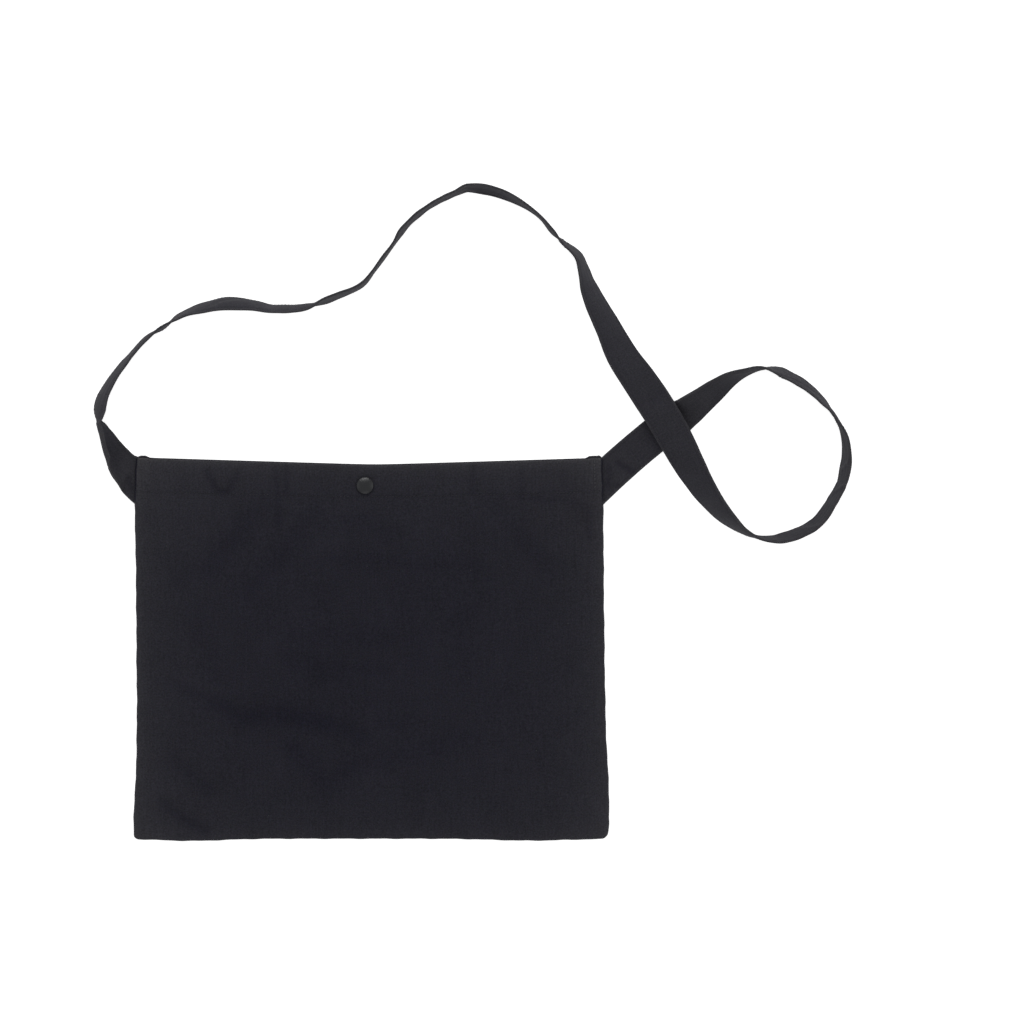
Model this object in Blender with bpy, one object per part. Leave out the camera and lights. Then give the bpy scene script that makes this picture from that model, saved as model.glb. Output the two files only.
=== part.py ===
"""Cycling musette bag, lying on its back with its long strap spread out beside it.

The bag is two canvas panels sewn together along the sides and the bottom and open along the
top, where each panel has a turned hem. A strap of the same canvas runs from one side seam to
the other, stands on its edge where it bends and crosses over itself once. A press snap in the
middle of the hems holds the mouth shut.

The floor is the plane z = 0. The origin lies on it, under the middle of the back panel.
x runs across the bag, y from its bottom edge towards its mouth.
"""
import math

import bmesh
import bpy
import numpy as np
from mathutils import Vector

# All sizes are in millimetres. MM turns them into metres where a mesh is made.
MM = 0.001
GAP = 0.3

# Bag body
BAG_HALF_WIDTH = 174.3
BAG_BOTTOM = -141.2
BAG_RIM = 137.1
CLOTH = 1.0
HEM_LINE = 112.0
SEAM_ALLOWANCE = 9.0
STEP_WIDTH = 0.6
CORNER_RADIUS = 4.0
FRONT_EDGE_ROUND = 1.6
BACK_EDGE_ROUND = 1.2
RIM_ROUND = 0.9

# The mouth's rim dips lowest beside the snap and climbs evenly to both corners, where the back
# panel's seam allowance stands up as a small ear.
RIM_LOWEST_X = 4.1
RIM_SLOPE = 0.031
RIM_SOFTNESS = 12.0
BACK_RIM_SHOWS = 0.8
EAR_RISE = 1.4
EAR_WIDTH = 12.0

# How far an uneven edge still bends the cloth beside it
SIDE_REACH = 60.0
BOTTOM_REACH = 40.0
RIM_REACH = 80.0

# Front panel: it rises from the seams to a low, flat crown
CROWN = 9.2
SIDE_RISE = 52.0
BOTTOM_RISE = 46.0

# Press snap: the cap's edge is a low upright lip under a dome, its post stands in the stud
SNAP_X = -3.9
SNAP_Y = 122.0
CAP_RADIUS = 6.25
CAP_HEIGHT = 2.9
CAP_LIP = 0.7
CAP_CHAMFER = 0.35
DOME_ANGLES = (20, 38, 55, 70, 82)
DOME_FULLNESS = 0.8
POST_RADIUS = 2.0
POST_DEPTH = 1.32
HOLE_RADIUS = POST_RADIUS + GAP
DISC_RADIUS = 5.3
DISC_HEIGHT = 2.4
FLANGE_RADIUS = 5.6
FLANGE_UNDERSIDE = 0.05
FLANGE_CHAMFER = 0.2
FLANGE_HEIGHT = 0.75

# The hems are pressed flat round the snap and swell again beyond it
SNAP_FLAT = 7.2
SNAP_BLEND = 30.0
FLANGE_BLEND = 12.0

# Strap
STRAP_WIDTH = 26.5
STRAP_THICKNESS = 1.6
STRAP_CLEARANCE = 0.35

# The side seams open where the strap's ends lie in them
SLOT_FROM = 92.0
SLOT_BLEND = 10.0

# Fineness of the meshes: even spacing of the grid lines over each panel, the lines close to an
# edge and round the snap, the sections along the strap and the points across it
FRONT_SPACING = 12.0
BACK_SPACING = 26.0
EDGE_MARGIN = 12.0
EDGE_LINES = (0.0, 0.4, 1.6, 4.5)
SNAP_LINES = (-12.5, -7.2, 0.0, 7.2, 12.5)
CLOSEST_LINES = 0.15
STRAP_STATION = 9.5
STRAP_ACROSS = 7
HOLE_SIDES = 16
SNAP_SIDES = 24

# Edges sharper than this, in degrees, stay sharp when shaded
PANEL_CREASE = 40
STRAP_CREASE = 50
SNAP_CREASE = 35

# Heights that follow from the sizes above
DOUBLE = 2 * CLOTH
SEAM_TOP = 2 * DOUBLE + GAP
STRAP_IN_SEAM = DOUBLE + STRAP_CLEARANCE
SLOT_LIFT = STRAP_IN_SEAM + STRAP_THICKNESS - DOUBLE
BACK_AT_SNAP = FLANGE_HEIGHT + GAP
DISC_BASE = BACK_AT_SNAP + DOUBLE + GAP
FRONT_AT_SNAP = DISC_BASE + DISC_HEIGHT + GAP + DOUBLE
CAP_BASE = FRONT_AT_SNAP + GAP
POST_END = DISC_BASE + DISC_HEIGHT - POST_DEPTH

# Side edges: height along the bag, how far the left and the right edge stand out there
SIDE_EDGES = [
    # height, left, right
    (-141.2, 2.2, 2.0),
    (-128.0, 2.2, 3.7),
    (-105.0, 1.0, 3.6),
    (-75.0, 0.0, 2.0),
    (-45.0, -0.3, 1.0),
    (0.0, 0.0, 0.3),
    (55.0, 0.4, -0.3),
    (90.0, 1.0, -0.5),
    (108.0, 1.4, -0.7),
    (137.1, 0.2, -1.2),
]

# Bottom edge: each row is a stretch of cloth that bellies out
BOTTOM_SWAGS = [
    # middle, drop, spread
    (-133.0, 1.6, 33.0),
    (119.0, 1.4, 38.0),
]

# Soft folds and dents pressed into the front panel
FOLDS = [
    # start x, start y, end x, end y, half width, depth
    (-141.0, -29.0, -104.0, -51.0, 6.0, 0.5),
    (-104.0, -51.0, -47.0, -55.0, 10.0, 1.1),
    (-47.0, -55.0, -2.0, -63.0, 9.0, 0.8),
    (-67.0, -68.0, -27.0, -103.0, 9.0, 0.7),
    (-154.0, -112.0, -127.0, -136.0, 6.0, 0.8),
    (-119.0, 133.0, -108.0, 117.0, 5.0, 0.8),
    (-62.0, 135.0, -63.0, 117.0, 5.0, 0.7),
    (77.0, 135.0, 75.0, 117.0, 5.0, 0.7),
    (114.0, 136.0, 114.0, 118.0, 4.0, 0.6),
    (-104.0, 94.0, -80.0, 110.0, 9.0, 0.5),
    (107.0, 98.0, 122.0, 74.0, 9.0, 0.5),
    (153.0, 110.0, 163.0, 92.0, 6.0, 0.7),
]

# Strap route, from the left side seam to the right one. x and y are the middle of the strap
# as seen from above. The leans are the turn of the strap about its route at its right and its
# left edge: 0 lies flat, 90 stands with the left edge up, 180 lies turned over. skew is how far
# a section is swung in plan from square to the route, lift the height of its lowest point.
STRAP_ROUTE = [
    # x, y, right lean, left lean, skew, lift
    (-167.9, 118.6, 0, 0, 36, STRAP_IN_SEAM),
    (-177.2, 127.7, 0, 0, 36, STRAP_IN_SEAM),
    (-185.0, 138.6, 2, 56, 10, 1.0),
    (-193.2, 151.8, 6, 112, 0, 0),
    (-198.7, 162.6, 38, 118, 0, 0),
    (-201.3, 169.6, 84, 113, 0, 0),
    (-201.4, 177.9, 95, 110, 0, 0),
    (-199.3, 188.4, 95, 114, 0, 0),
    (-187.9, 207.0, 94, 102, 0, 0),
    (-175.5, 223.2, 92, 95, 0, 0),
    (-160.8, 236.1, 90, 90, 0, 0),
    (-156.3, 238.4, 85, 84, 0, 0),
    (-151.8, 241.4, 90, 90, 0, 0),
    (-138.4, 249.4, 94, 103, 0, 0),
    (-115.3, 255.9, 90, 126, 0, 0),
    (-91.5, 256.6, 90, 124, 0, 0),
    (-68.4, 253.3, 92, 104, 0, 0),
    (-57.2, 253.7, 93, 105, 0, 0),
    (-46.0, 255.2, 90, 92, 0, 0),
    (-31.1, 261.3, 83, 80, 0, 0),
    (-4.3, 273.3, 84, 82, 0, 0),
    (1.7, 281.3, 85, 86, 0, 0),
    (8.4, 290.0, 86, 87, 0, 0),
    (20.4, 307.0, 87, 88, 0, 0),
    (34.0, 321.8, 78, 84, 0, 0),
    (42.3, 328.9, 84, 86, 0, 0),
    (54.2, 335.2, 82, 85, 0, 0),
    (63.8, 339.1, 78, 84, 0, 0),
    (73.4, 343.7, 62, 95, 0, 0),
    (84.3, 342.7, 58, 96, 0, 0),
    (105.9, 335.6, 64, 94, 0, 0),
    (121.6, 326.5, 82, 88, 0, 0),
    (135.7, 312.1, 84, 85, 0, 0),
    (142.9, 304.0, 90, 90, 0, 0),
    (148.2, 299.4, 97, 100, 0, 0),
    (155.0, 292.9, 98, 104, 0, 0),
    (158.6, 283.7, 101, 110, 0, 0),
    (168.5, 257.4, 112, 138, 0, 0),
    (186.5, 222.6, 136, 158, 0, 0.5),
    (209.7, 186.2, 168, 174, 0, 3.4),
    (221.6, 166.9, 176, 182, 0, 4.0),
    (231.5, 149.0, 188, 205, 0, 3.4),
    (241.1, 131.6, 204, 228, 0, 0.6),
    (261.6, 103.4, 232, 256, 0, 0),
    (279.0, 87.0, 258, 265, 0, 0),
    (288.4, 83.5, 270, 272, 0, 0),
    (308.0, 83.0, 284, 284, 0, 0),
    (328.9, 91.4, 286, 286, 0, 0),
    (343.7, 108.9, 286, 285, 0, 0),
    (352.4, 127.3, 284, 284, 0, 0),
    (355.2, 148.1, 282, 281, 0, 0),
    (350.0, 166.8, 276, 275, 0, 0),
    (345.9, 174.6, 271, 270, 0, 0),
    (331.7, 190.0, 260, 260, 0, 0),
    (311.6, 203.8, 257, 256, 0, 0),
    (294.4, 209.3, 269, 270, 0, 0),
    (276.3, 205.3, 284, 288, 0, 0),
    (256.0, 191.8, 300, 312, 0, 0),
    (243.2, 181.8, 318, 330, 0, 0),
    (228.6, 171.6, 346, 353, 0, 0),
    (202.2, 151.0, 360, 360, 0, 0),
    (186.6, 137.4, 360, 360, -20, 1.0),
    (176.0, 128.4, 360, 360, -42, STRAP_IN_SEAM),
    (166.4, 119.6, 360, 360, -42, STRAP_IN_SEAM),
]


def clear_scene():
    """Remove every object, so that only the bag is left."""
    for obj in list(bpy.data.objects):
        bpy.data.objects.remove(obj, do_unlink=True)


def material(name, colour, roughness, metallic):
    """A Principled material of one colour."""
    mat = bpy.data.materials.new(name)
    mat.use_nodes = True
    shader = mat.node_tree.nodes["Principled BSDF"]
    shader.inputs["Base Color"].default_value = (*colour, 1.0)
    shader.inputs["Roughness"].default_value = roughness
    shader.inputs["Metallic"].default_value = metallic
    return mat


def smooth(t):
    """Rise from 0 to 1 with level ends while t goes from 0 to 1."""
    t = np.clip(t, 0.0, 1.0)
    return t * t * (3.0 - 2.0 * t)


def fall(distance, reach):
    """Sink from 1 to 0 while the distance grows to the reach."""
    return 1.0 - smooth(distance / reach)


def crest(t):
    """Rise from 0 to 1 as a quarter of a sine wave, steep at first and then level."""
    return np.sin(0.5 * math.pi * np.clip(t, 0.0, 1.0))


def rounding(distance, radius):
    """How far a quarter-round edge lies below its flat face, at a distance from the edge."""
    inward = radius - np.clip(distance, 0.0, radius)
    return radius - np.sqrt(radius**2 - inward**2)


def curve_through(knots, values, at):
    """Smooth cubic curve through the values, level at each knot where they turn back."""
    slopes = np.gradient(values, knots, axis=0)
    change = np.diff(values, axis=0)
    slopes[1:-1][change[:-1] * change[1:] <= 0.0] = 0.0
    low = np.clip(np.searchsorted(knots, at, side="right") - 1, 0, len(knots) - 2)
    span = knots[low + 1] - knots[low]
    t = (at - knots[low]) / span
    if values.ndim == 2:
        t = t[:, None]
        span = span[:, None]
    start = (2 * t**3 - 3 * t**2 + 1) * values[low]
    end = (3 * t**2 - 2 * t**3) * values[low + 1]
    leaving = (t**3 - 2 * t**2 + t) * span * slopes[low]
    arriving = (t**3 - t**2) * span * slopes[low + 1]
    return start + end + leaving + arriving


def mesh_object(name, vertices, faces, mat):
    """A closed mesh from points in millimetres, with its faces turned outwards."""
    mesh = bpy.data.meshes.new(name)
    bm = bmesh.new()
    points = [bm.verts.new(Vector(point) * MM) for point in vertices]
    for face in faces:
        bm.faces.new([points[index] for index in face])
    bmesh.ops.recalc_face_normals(bm, faces=bm.faces)
    bm.to_mesh(mesh)
    bm.free()
    mesh.materials.append(mat)
    obj = bpy.data.objects.new(name, mesh)
    bpy.context.scene.collection.objects.link(obj)
    return obj


def shade_round(obj, degrees):
    """Shade an object smooth, with sharp edges where it turns by more than the angle."""
    obj.data.shade_smooth()
    obj.data.set_sharp_from_angle(angle=math.radians(degrees))


def snap_distance(x, y):
    """Distance in plan from the middle of the snap."""
    return np.hypot(x - SNAP_X, y - SNAP_Y)


def grid_lines(low, high, spacing, extra):
    """Grid positions between two edges: close together at both edges, even in between."""
    close = np.array(EDGE_LINES)
    inner = np.arange(low + EDGE_MARGIN, high - EDGE_MARGIN, spacing)
    lines = np.sort(np.concatenate([low + close, inner, extra, high - close]))
    keep = np.concatenate([[True], np.diff(lines) > CLOSEST_LINES])
    return lines[keep]


def panel_lines(spacing):
    """Columns and rows of a panel's grid, with lines along seams, hem and snap."""
    seam = np.array([SEAM_ALLOWANCE - STEP_WIDTH, SEAM_ALLOWANCE])
    hem = np.array([HEM_LINE - STEP_WIDTH, HEM_LINE])
    snap = np.array(SNAP_LINES)
    beside = np.concatenate([seam - BAG_HALF_WIDTH, BAG_HALF_WIDTH - seam, SNAP_X + snap])
    above = np.concatenate([BAG_BOTTOM + seam, hem, SNAP_Y + snap])
    columns = grid_lines(-BAG_HALF_WIDTH, BAG_HALF_WIDTH, spacing, beside)
    rows = grid_lines(BAG_BOTTOM, BAG_RIM, spacing, above)
    return columns, rows


def round_corners(across, up):
    """Pull the two bottom corners of the plain rectangle in to quarter circles."""
    side = (np.abs(across) - (BAG_HALF_WIDTH - CORNER_RADIUS)) / CORNER_RADIUS
    low = (BAG_BOTTOM + CORNER_RADIUS - up) / CORNER_RADIUS
    side = np.clip(side, 0.0, 1.0)
    low = np.clip(low, 0.0, 1.0)
    pull_side = CORNER_RADIUS * side * (1.0 - np.sqrt(1.0 - low**2 / 2.0))
    pull_low = CORNER_RADIUS * low * (1.0 - np.sqrt(1.0 - side**2 / 2.0))
    return across - np.sign(across) * pull_side, up + pull_low


def outline(across, up, rim_raise, ear_rise):
    """Move the points of the plain rectangle to the bag's real, slightly uneven outline."""
    x, y = round_corners(across, up)
    edges = np.array(SIDE_EDGES)
    left_out = curve_through(edges[:, 0], edges[:, 1], up)
    right_out = curve_through(edges[:, 0], edges[:, 2], up)
    x = x - left_out * fall(across + BAG_HALF_WIDTH, SIDE_REACH)
    x = x + right_out * fall(BAG_HALF_WIDTH - across, SIDE_REACH)
    for middle, drop, spread in BOTTOM_SWAGS:
        sag = drop * np.exp(-(((across - middle) / spread) ** 2))
        y = y - sag * fall(up - BAG_BOTTOM, BOTTOM_REACH)
    off_middle = np.hypot(across - RIM_LOWEST_X, RIM_SOFTNESS) - RIM_SOFTNESS
    ears = ear_rise * fall(BAG_HALF_WIDTH - np.abs(across), EAR_WIDTH)
    climb = RIM_SLOPE * off_middle + rim_raise + ears
    y = y + climb * fall(BAG_RIM - up, RIM_REACH)
    return x, y


def layers(across, up):
    """Thickness of a panel: one layer of cloth, two along the turned seams and in the hem."""
    side = BAG_HALF_WIDTH - np.abs(across)
    from_edge = np.minimum(side, up - BAG_BOTTOM)
    turned = fall(from_edge - (SEAM_ALLOWANCE - STEP_WIDTH), STEP_WIDTH)
    hem = smooth((up - (HEM_LINE - STEP_WIDTH)) / STEP_WIDTH)
    return CLOTH * (1.0 + np.maximum(turned, hem))


def folds(x, y):
    """Depth of the pressed-in folds: each is a soft trough along its own line."""
    depth = np.zeros_like(x)
    for x0, y0, x1, y1, half_width, deep in FOLDS:
        run = (x1 - x0) ** 2 + (y1 - y0) ** 2
        along = np.clip(((x - x0) * (x1 - x0) + (y - y0) * (y1 - y0)) / run, 0.0, 1.0)
        away = np.hypot(x - x0 - along * (x1 - x0), y - y0 - along * (y1 - y0))
        depth = np.maximum(depth, deep * np.exp(-((away / half_width) ** 2)))
    return depth


def front_faces(across, up, x, y):
    """Heights of the front panel's outer and inner face."""
    side = BAG_HALF_WIDTH - np.abs(across)
    above_bottom = up - BAG_BOTTOM
    seam = SEAM_TOP + SLOT_LIFT * smooth((up - SLOT_FROM) / SLOT_BLEND)
    near_snap = fall(snap_distance(x, y) - SNAP_FLAT, SNAP_BLEND)
    crown = CROWN - (CROWN - FRONT_AT_SNAP) * near_snap
    rise = crest(side / SIDE_RISE) * crest(above_bottom / BOTTOM_RISE)
    outer = seam + (crown - seam) * rise - folds(x, y) * (1.0 - near_snap)
    inner = outer - layers(across, up)
    outer = outer - rounding(np.minimum(side, above_bottom), FRONT_EDGE_ROUND)
    rim = rounding(BAG_RIM - up, RIM_ROUND)
    return outer - rim, inner + rim


def back_faces(across, up, x, y):
    """Heights of the back panel's inner face and of the face that lies on the floor."""
    side = BAG_HALF_WIDTH - np.abs(across)
    lifted = BACK_AT_SNAP * fall(snap_distance(x, y) - SNAP_FLAT, FLANGE_BLEND)
    inner = lifted + layers(across, up)
    outer = lifted + rounding(np.minimum(side, up - BAG_BOTTOM), BACK_EDGE_ROUND)
    rim = rounding(BAG_RIM - up, RIM_ROUND)
    return inner - rim, outer + rim


def panel(name, spacing, faces_of, rim_raise, ear_rise, mat):
    """A cloth panel: an upper and a lower grid of points, joined all round their edge."""
    columns, rows = panel_lines(spacing)
    across, up = np.meshgrid(columns, rows)
    x, y = outline(across, up, rim_raise, ear_rise)
    upper, lower = faces_of(across, up, x, y)
    top = np.stack([x, y, upper], axis=-1).reshape(-1, 3)
    bottom = np.stack([x, y, lower], axis=-1).reshape(-1, 3)
    count = len(top)
    index = np.arange(count).reshape(x.shape)
    quads = np.stack([index[:-1, :-1], index[:-1, 1:], index[1:, 1:], index[1:, :-1]], axis=-1)
    quads = quads.reshape(-1, 4)
    border = np.concatenate([index[0, :], index[1:, -1], index[-1, -2::-1], index[-2:0:-1, 0]])
    onward = np.roll(border, -1)
    wall = np.stack([border, onward, onward + count, border + count], axis=-1)
    faces = quads.tolist() + (quads[:, ::-1] + count).tolist() + wall.tolist()
    obj = mesh_object(name, np.concatenate([top, bottom]).tolist(), faces, mat)
    shade_round(obj, PANEL_CREASE)
    return obj


def snap_hole_cutter():
    """A round bar through both hems, which cuts the holes for the snap's post."""
    mesh = bpy.data.meshes.new("snap_hole")
    bm = bmesh.new()
    length = 4 * CROWN
    bmesh.ops.create_cone(bm, cap_ends=True, segments=HOLE_SIDES, radius1=HOLE_RADIUS * MM,
                          radius2=HOLE_RADIUS * MM, depth=length * MM)
    bm.to_mesh(mesh)
    bm.free()
    cutter = bpy.data.objects.new("snap_hole", mesh)
    cutter.location = (SNAP_X * MM, SNAP_Y * MM, 0.0)
    cutter.hide_render = True
    cutter.display_type = "WIRE"
    bpy.context.scene.collection.objects.link(cutter)
    return cutter


def cut_snap_hole(obj, cutter):
    """Punch the hole for the snap through a hem."""
    hole = obj.modifiers.new("snap_hole", "BOOLEAN")
    hole.operation = "DIFFERENCE"
    hole.object = cutter
    hole.solver = "EXACT"


def front_panel(cutter):
    """The front cloth, crowned over the hollow bag, with its soft folds."""
    mat = material("front_canvas", (0.014, 0.014, 0.018), 0.92, 0.0)
    obj = panel("front_panel", FRONT_SPACING, front_faces, 0.0, 0.0, mat)
    cut_snap_hole(obj, cutter)


def back_panel(cutter):
    """The back cloth, flat on the floor, whose rim shows a little above the front one."""
    mat = material("back_canvas", (0.013, 0.013, 0.017), 0.92, 0.0)
    obj = panel("back_panel", BACK_SPACING, back_faces, BACK_RIM_SHOWS, EAR_RISE, mat)
    cut_snap_hole(obj, cutter)


def strap_section(right_lean, left_lean, width):
    """One section across the strap, as offsets to the left of the route and heights.

    The strap leans evenly more from its right edge to its left one, so its middle line is an
    arc. Both faces lie half the thickness off that line. The section is centred on the route.
    """
    lean = np.radians(np.linspace(right_lean, left_lean, STRAP_ACROSS))
    mean_lean = 0.5 * (lean[1:] + lean[:-1])
    step = width / (STRAP_ACROSS - 1)
    left = np.concatenate([[0.0], np.cumsum(step * np.cos(mean_lean))])
    height = np.concatenate([[0.0], np.cumsum(step * np.sin(mean_lean))])
    half = 0.5 * STRAP_THICKNESS
    over = np.stack([left - half * np.sin(lean), height + half * np.cos(lean)], axis=-1)
    under = np.stack([left + half * np.sin(lean), height - half * np.cos(lean)], axis=-1)
    ring = np.concatenate([over, under[::-1]])
    ring[:, 0] -= 0.5 * (ring[:, 0].min() + ring[:, 0].max())
    ring[:, 1] -= ring[:, 1].min()
    return ring


def strap_rings():
    """Sections of the strap at even steps along its route, as rings of points."""
    table = np.array(STRAP_ROUTE, dtype=float)
    chords = np.hypot(*np.diff(table[:, :2], axis=0).T)
    knots = np.concatenate([[0.0], np.cumsum(chords)])
    stations = np.linspace(0.0, knots[-1], int(knots[-1] / STRAP_STATION) + 1)
    rows = curve_through(knots, table, stations)
    heading = np.gradient(rows[:, :2], stations, axis=0)
    rings = []
    for row, (ahead_x, ahead_y) in zip(rows, heading):
        x, y, right_lean, left_lean, skew, lift = row
        width = STRAP_WIDTH / math.cos(math.radians(skew))
        ring = strap_section(right_lean, left_lean, width)
        swing = math.atan2(ahead_y, ahead_x) + math.radians(90.0 + skew)
        plan = np.outer(ring[:, 0], [math.cos(swing), math.sin(swing)]) + [x, y]
        rings.append(np.column_stack([plan, ring[:, 1] + max(lift, 0.0)]))
    return np.array(rings)


def strap():
    """The long shoulder strap, one double strip of canvas with both ends in the side seams."""
    rings = strap_rings()
    count, around, _ = rings.shape
    index = np.arange(count * around).reshape(count, around)
    onward = np.roll(index, -1, axis=1)
    sides = np.stack([index[:-1], onward[:-1], onward[1:], index[1:]], axis=-1).reshape(-1, 4)
    last = STRAP_ACROSS - 1
    ends = []
    for ring in (index[0], index[-1]):
        for i in range(last):
            ends.append([ring[i], ring[i + 1], ring[around - 2 - i], ring[around - 1 - i]])
    mat = material("strap_canvas", (0.016, 0.016, 0.020), 0.90, 0.0)
    faces = sides.tolist() + [[int(corner) for corner in face] for face in ends]
    obj = mesh_object("strap", rings.reshape(-1, 3).tolist(), faces, mat)
    shade_round(obj, STRAP_CREASE)


def turned(name, profile, mat):
    """Spin a half profile of radius and height about the snap's own upright axis."""
    mesh = bpy.data.meshes.new(name)
    bm = bmesh.new()
    points = [bm.verts.new((radius * MM, 0.0, height * MM)) for radius, height in profile]
    edges = [bm.edges.new(pair) for pair in zip(points, points[1:])]
    bmesh.ops.spin(bm, geom=points + edges, cent=(0, 0, 0), axis=(0, 0, 1),
                   angle=2 * math.pi, steps=SNAP_SIDES, use_merge=True)
    bmesh.ops.remove_doubles(bm, verts=bm.verts, dist=0.01 * MM)
    bmesh.ops.recalc_face_normals(bm, faces=bm.faces)
    bm.to_mesh(mesh)
    bm.free()
    mesh.materials.append(mat)
    obj = bpy.data.objects.new(name, mesh)
    obj.location = (SNAP_X * MM, SNAP_Y * MM, 0.0)
    bpy.context.scene.collection.objects.link(obj)
    shade_round(obj, SNAP_CREASE)


def snap_cap():
    """The domed cap on the front hem, with the post that goes down through it."""
    shoulder = CAP_BASE + CAP_LIP
    profile = [(0.0, POST_END), (POST_RADIUS, POST_END), (POST_RADIUS, CAP_BASE),
               (CAP_RADIUS - CAP_CHAMFER, CAP_BASE), (CAP_RADIUS, CAP_BASE + CAP_CHAMFER),
               (CAP_RADIUS, shoulder)]
    for angle in DOME_ANGLES:
        swing = math.radians(angle)
        profile.append((CAP_RADIUS * math.cos(swing) ** DOME_FULLNESS,
                        shoulder + (CAP_HEIGHT - CAP_LIP) * math.sin(swing)))
    profile.append((0.0, CAP_BASE + CAP_HEIGHT))
    turned("snap_cap", profile, material("snap_cap_paint", (0.020, 0.020, 0.022), 0.35, 0.6))


def snap_stud():
    """The hidden half: a flange behind the back hem, a waist through it and a disc in front."""
    bore_floor = POST_END - GAP
    top = DISC_BASE + DISC_HEIGHT
    profile = [(0.0, FLANGE_UNDERSIDE), (FLANGE_RADIUS - FLANGE_CHAMFER, FLANGE_UNDERSIDE),
               (FLANGE_RADIUS, FLANGE_UNDERSIDE + FLANGE_CHAMFER),
               (FLANGE_RADIUS, FLANGE_HEIGHT), (POST_RADIUS, FLANGE_HEIGHT),
               (POST_RADIUS, DISC_BASE), (DISC_RADIUS, DISC_BASE),
               (DISC_RADIUS, top), (HOLE_RADIUS, top), (HOLE_RADIUS, bore_floor),
               (0.0, bore_floor)]
    turned("snap_stud", profile, material("snap_stud_metal", (0.10, 0.10, 0.11), 0.4, 0.9))


def build():
    """Make the whole bag."""
    clear_scene()
    cutter = snap_hole_cutter()
    front_panel(cutter)
    back_panel(cutter)
    strap()
    snap_cap()
    snap_stud()


build()
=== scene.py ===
"""Cycling musette bag: the sewn cloth, stitches and snap over the plain solids, and the studio.

The bag lies on its back with its long strap spread out beside it. Every shape is worked out in
millimetres, in the solids' own frame, and put into a mesh in metres.
"""

import math

import bpy
import numpy as np
from bpy.props import FloatProperty, FloatVectorProperty, PointerProperty
from bpy.types import Node, NodeSocket, Operator, Panel, PropertyGroup, Scene
from mathutils import Color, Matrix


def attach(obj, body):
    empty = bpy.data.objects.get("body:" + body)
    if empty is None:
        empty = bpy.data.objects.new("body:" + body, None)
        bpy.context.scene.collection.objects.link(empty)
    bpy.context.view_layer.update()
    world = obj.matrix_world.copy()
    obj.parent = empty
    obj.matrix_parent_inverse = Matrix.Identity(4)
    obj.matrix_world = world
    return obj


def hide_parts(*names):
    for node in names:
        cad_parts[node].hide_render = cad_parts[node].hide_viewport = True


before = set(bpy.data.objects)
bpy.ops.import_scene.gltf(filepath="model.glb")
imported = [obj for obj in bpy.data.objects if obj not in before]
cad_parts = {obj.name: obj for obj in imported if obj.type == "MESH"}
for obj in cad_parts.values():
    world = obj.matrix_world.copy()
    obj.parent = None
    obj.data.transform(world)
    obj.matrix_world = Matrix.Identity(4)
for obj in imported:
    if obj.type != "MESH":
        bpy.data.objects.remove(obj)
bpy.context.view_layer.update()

bl_info = {
    "name": "Musette Bag Maker",
    "version": (1, 0, 0),
    "blender": (4, 5, 0),
    "location": "View3D > Sidebar > Musette",
    "description": "Sews the canvas, strap, stitches and snap of a musette bag",
    "category": "Add Mesh",
}

MM = 0.001
GAP = 0.3

# Bag body, in millimetres
BAG_HALF_WIDTH = 174.3
BAG_BOTTOM = -141.2
BAG_RIM = 137.1
CLOTH = 1
HEM_LINE = 112
SEAM_ALLOWANCE = 9
STEP_WIDTH = 0.6
CORNER_RADIUS = 4
FRONT_EDGE_ROUND = 1.6
BACK_EDGE_ROUND = 1.2
RIM_ROUND = 0.9
RIM_LOWEST_X = 4.1
RIM_SLOPE = 0.031
RIM_SOFTNESS = 12
BACK_RIM_SHOWS = 0.8
SIDE_REACH = 60
BOTTOM_REACH = 40
RIM_REACH = 80
CROWN = 9.2
SIDE_RISE = 52
BOTTOM_RISE = 46

# Press snap
SNAP_X = -3.9
SNAP_Y = 122
CAP_RADIUS = 6.25
CAP_HEIGHT = 2.9
CAP_ROUND = 0.35
CAP_BEVEL = 0.06
CAP_SLOPE = 28
CAP_SEAT = 5.2
CAP_PRESSED_IN = 0.02
POST_RADIUS = 2
POST_DEPTH = 1.32
POST_CHAMFER = 0.2
HOLE_RADIUS = POST_RADIUS + GAP
DISC_RADIUS = 5.3
DISC_HEIGHT = 2.4
FLANGE_RADIUS = 5.6
FLANGE_UNDERSIDE = 0.05
FLANGE_HEIGHT = 0.75
SNAP_FLAT = 7.2
SNAP_BLEND = 30
FLANGE_BLEND = 12

# Strap
STRAP_WIDTH = 26.5
STRAP_THICKNESS = 1.6
STRAP_CLEARANCE = 0.35
SLOT_FROM = 92
SLOT_BLEND = 10
CURL_POWER = 1.4
CURL_UNTIL = 50
CURL_FADE = 30

# Heights that follow from the sizes above
DOUBLE = 2 * CLOTH
SEAM_TOP = 2 * DOUBLE + GAP
STRAP_IN_SEAM = DOUBLE + STRAP_CLEARANCE
SLOT_LIFT = STRAP_IN_SEAM + STRAP_THICKNESS - DOUBLE
BACK_AT_SNAP = FLANGE_HEIGHT + GAP
DISC_BASE = BACK_AT_SNAP + DOUBLE + GAP
FRONT_AT_SNAP = DISC_BASE + DISC_HEIGHT + GAP + DOUBLE
CAP_BASE = FRONT_AT_SNAP + GAP
POST_END = DISC_BASE + DISC_HEIGHT - POST_DEPTH

# Stitch lines: the hem's above its turned edge, the strap's inside its folded borders
HEM_STITCH = 113.5
STRAP_STITCH = 2.3

# Short topstitch of thicker, paler thread beside the strap's right end
TOPSTITCH_X = 168.2
TOPSTITCH_FROM = 117
TOPSTITCH_THICKER = 1.6
TOPSTITCH_PALER = 0.5

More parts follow.
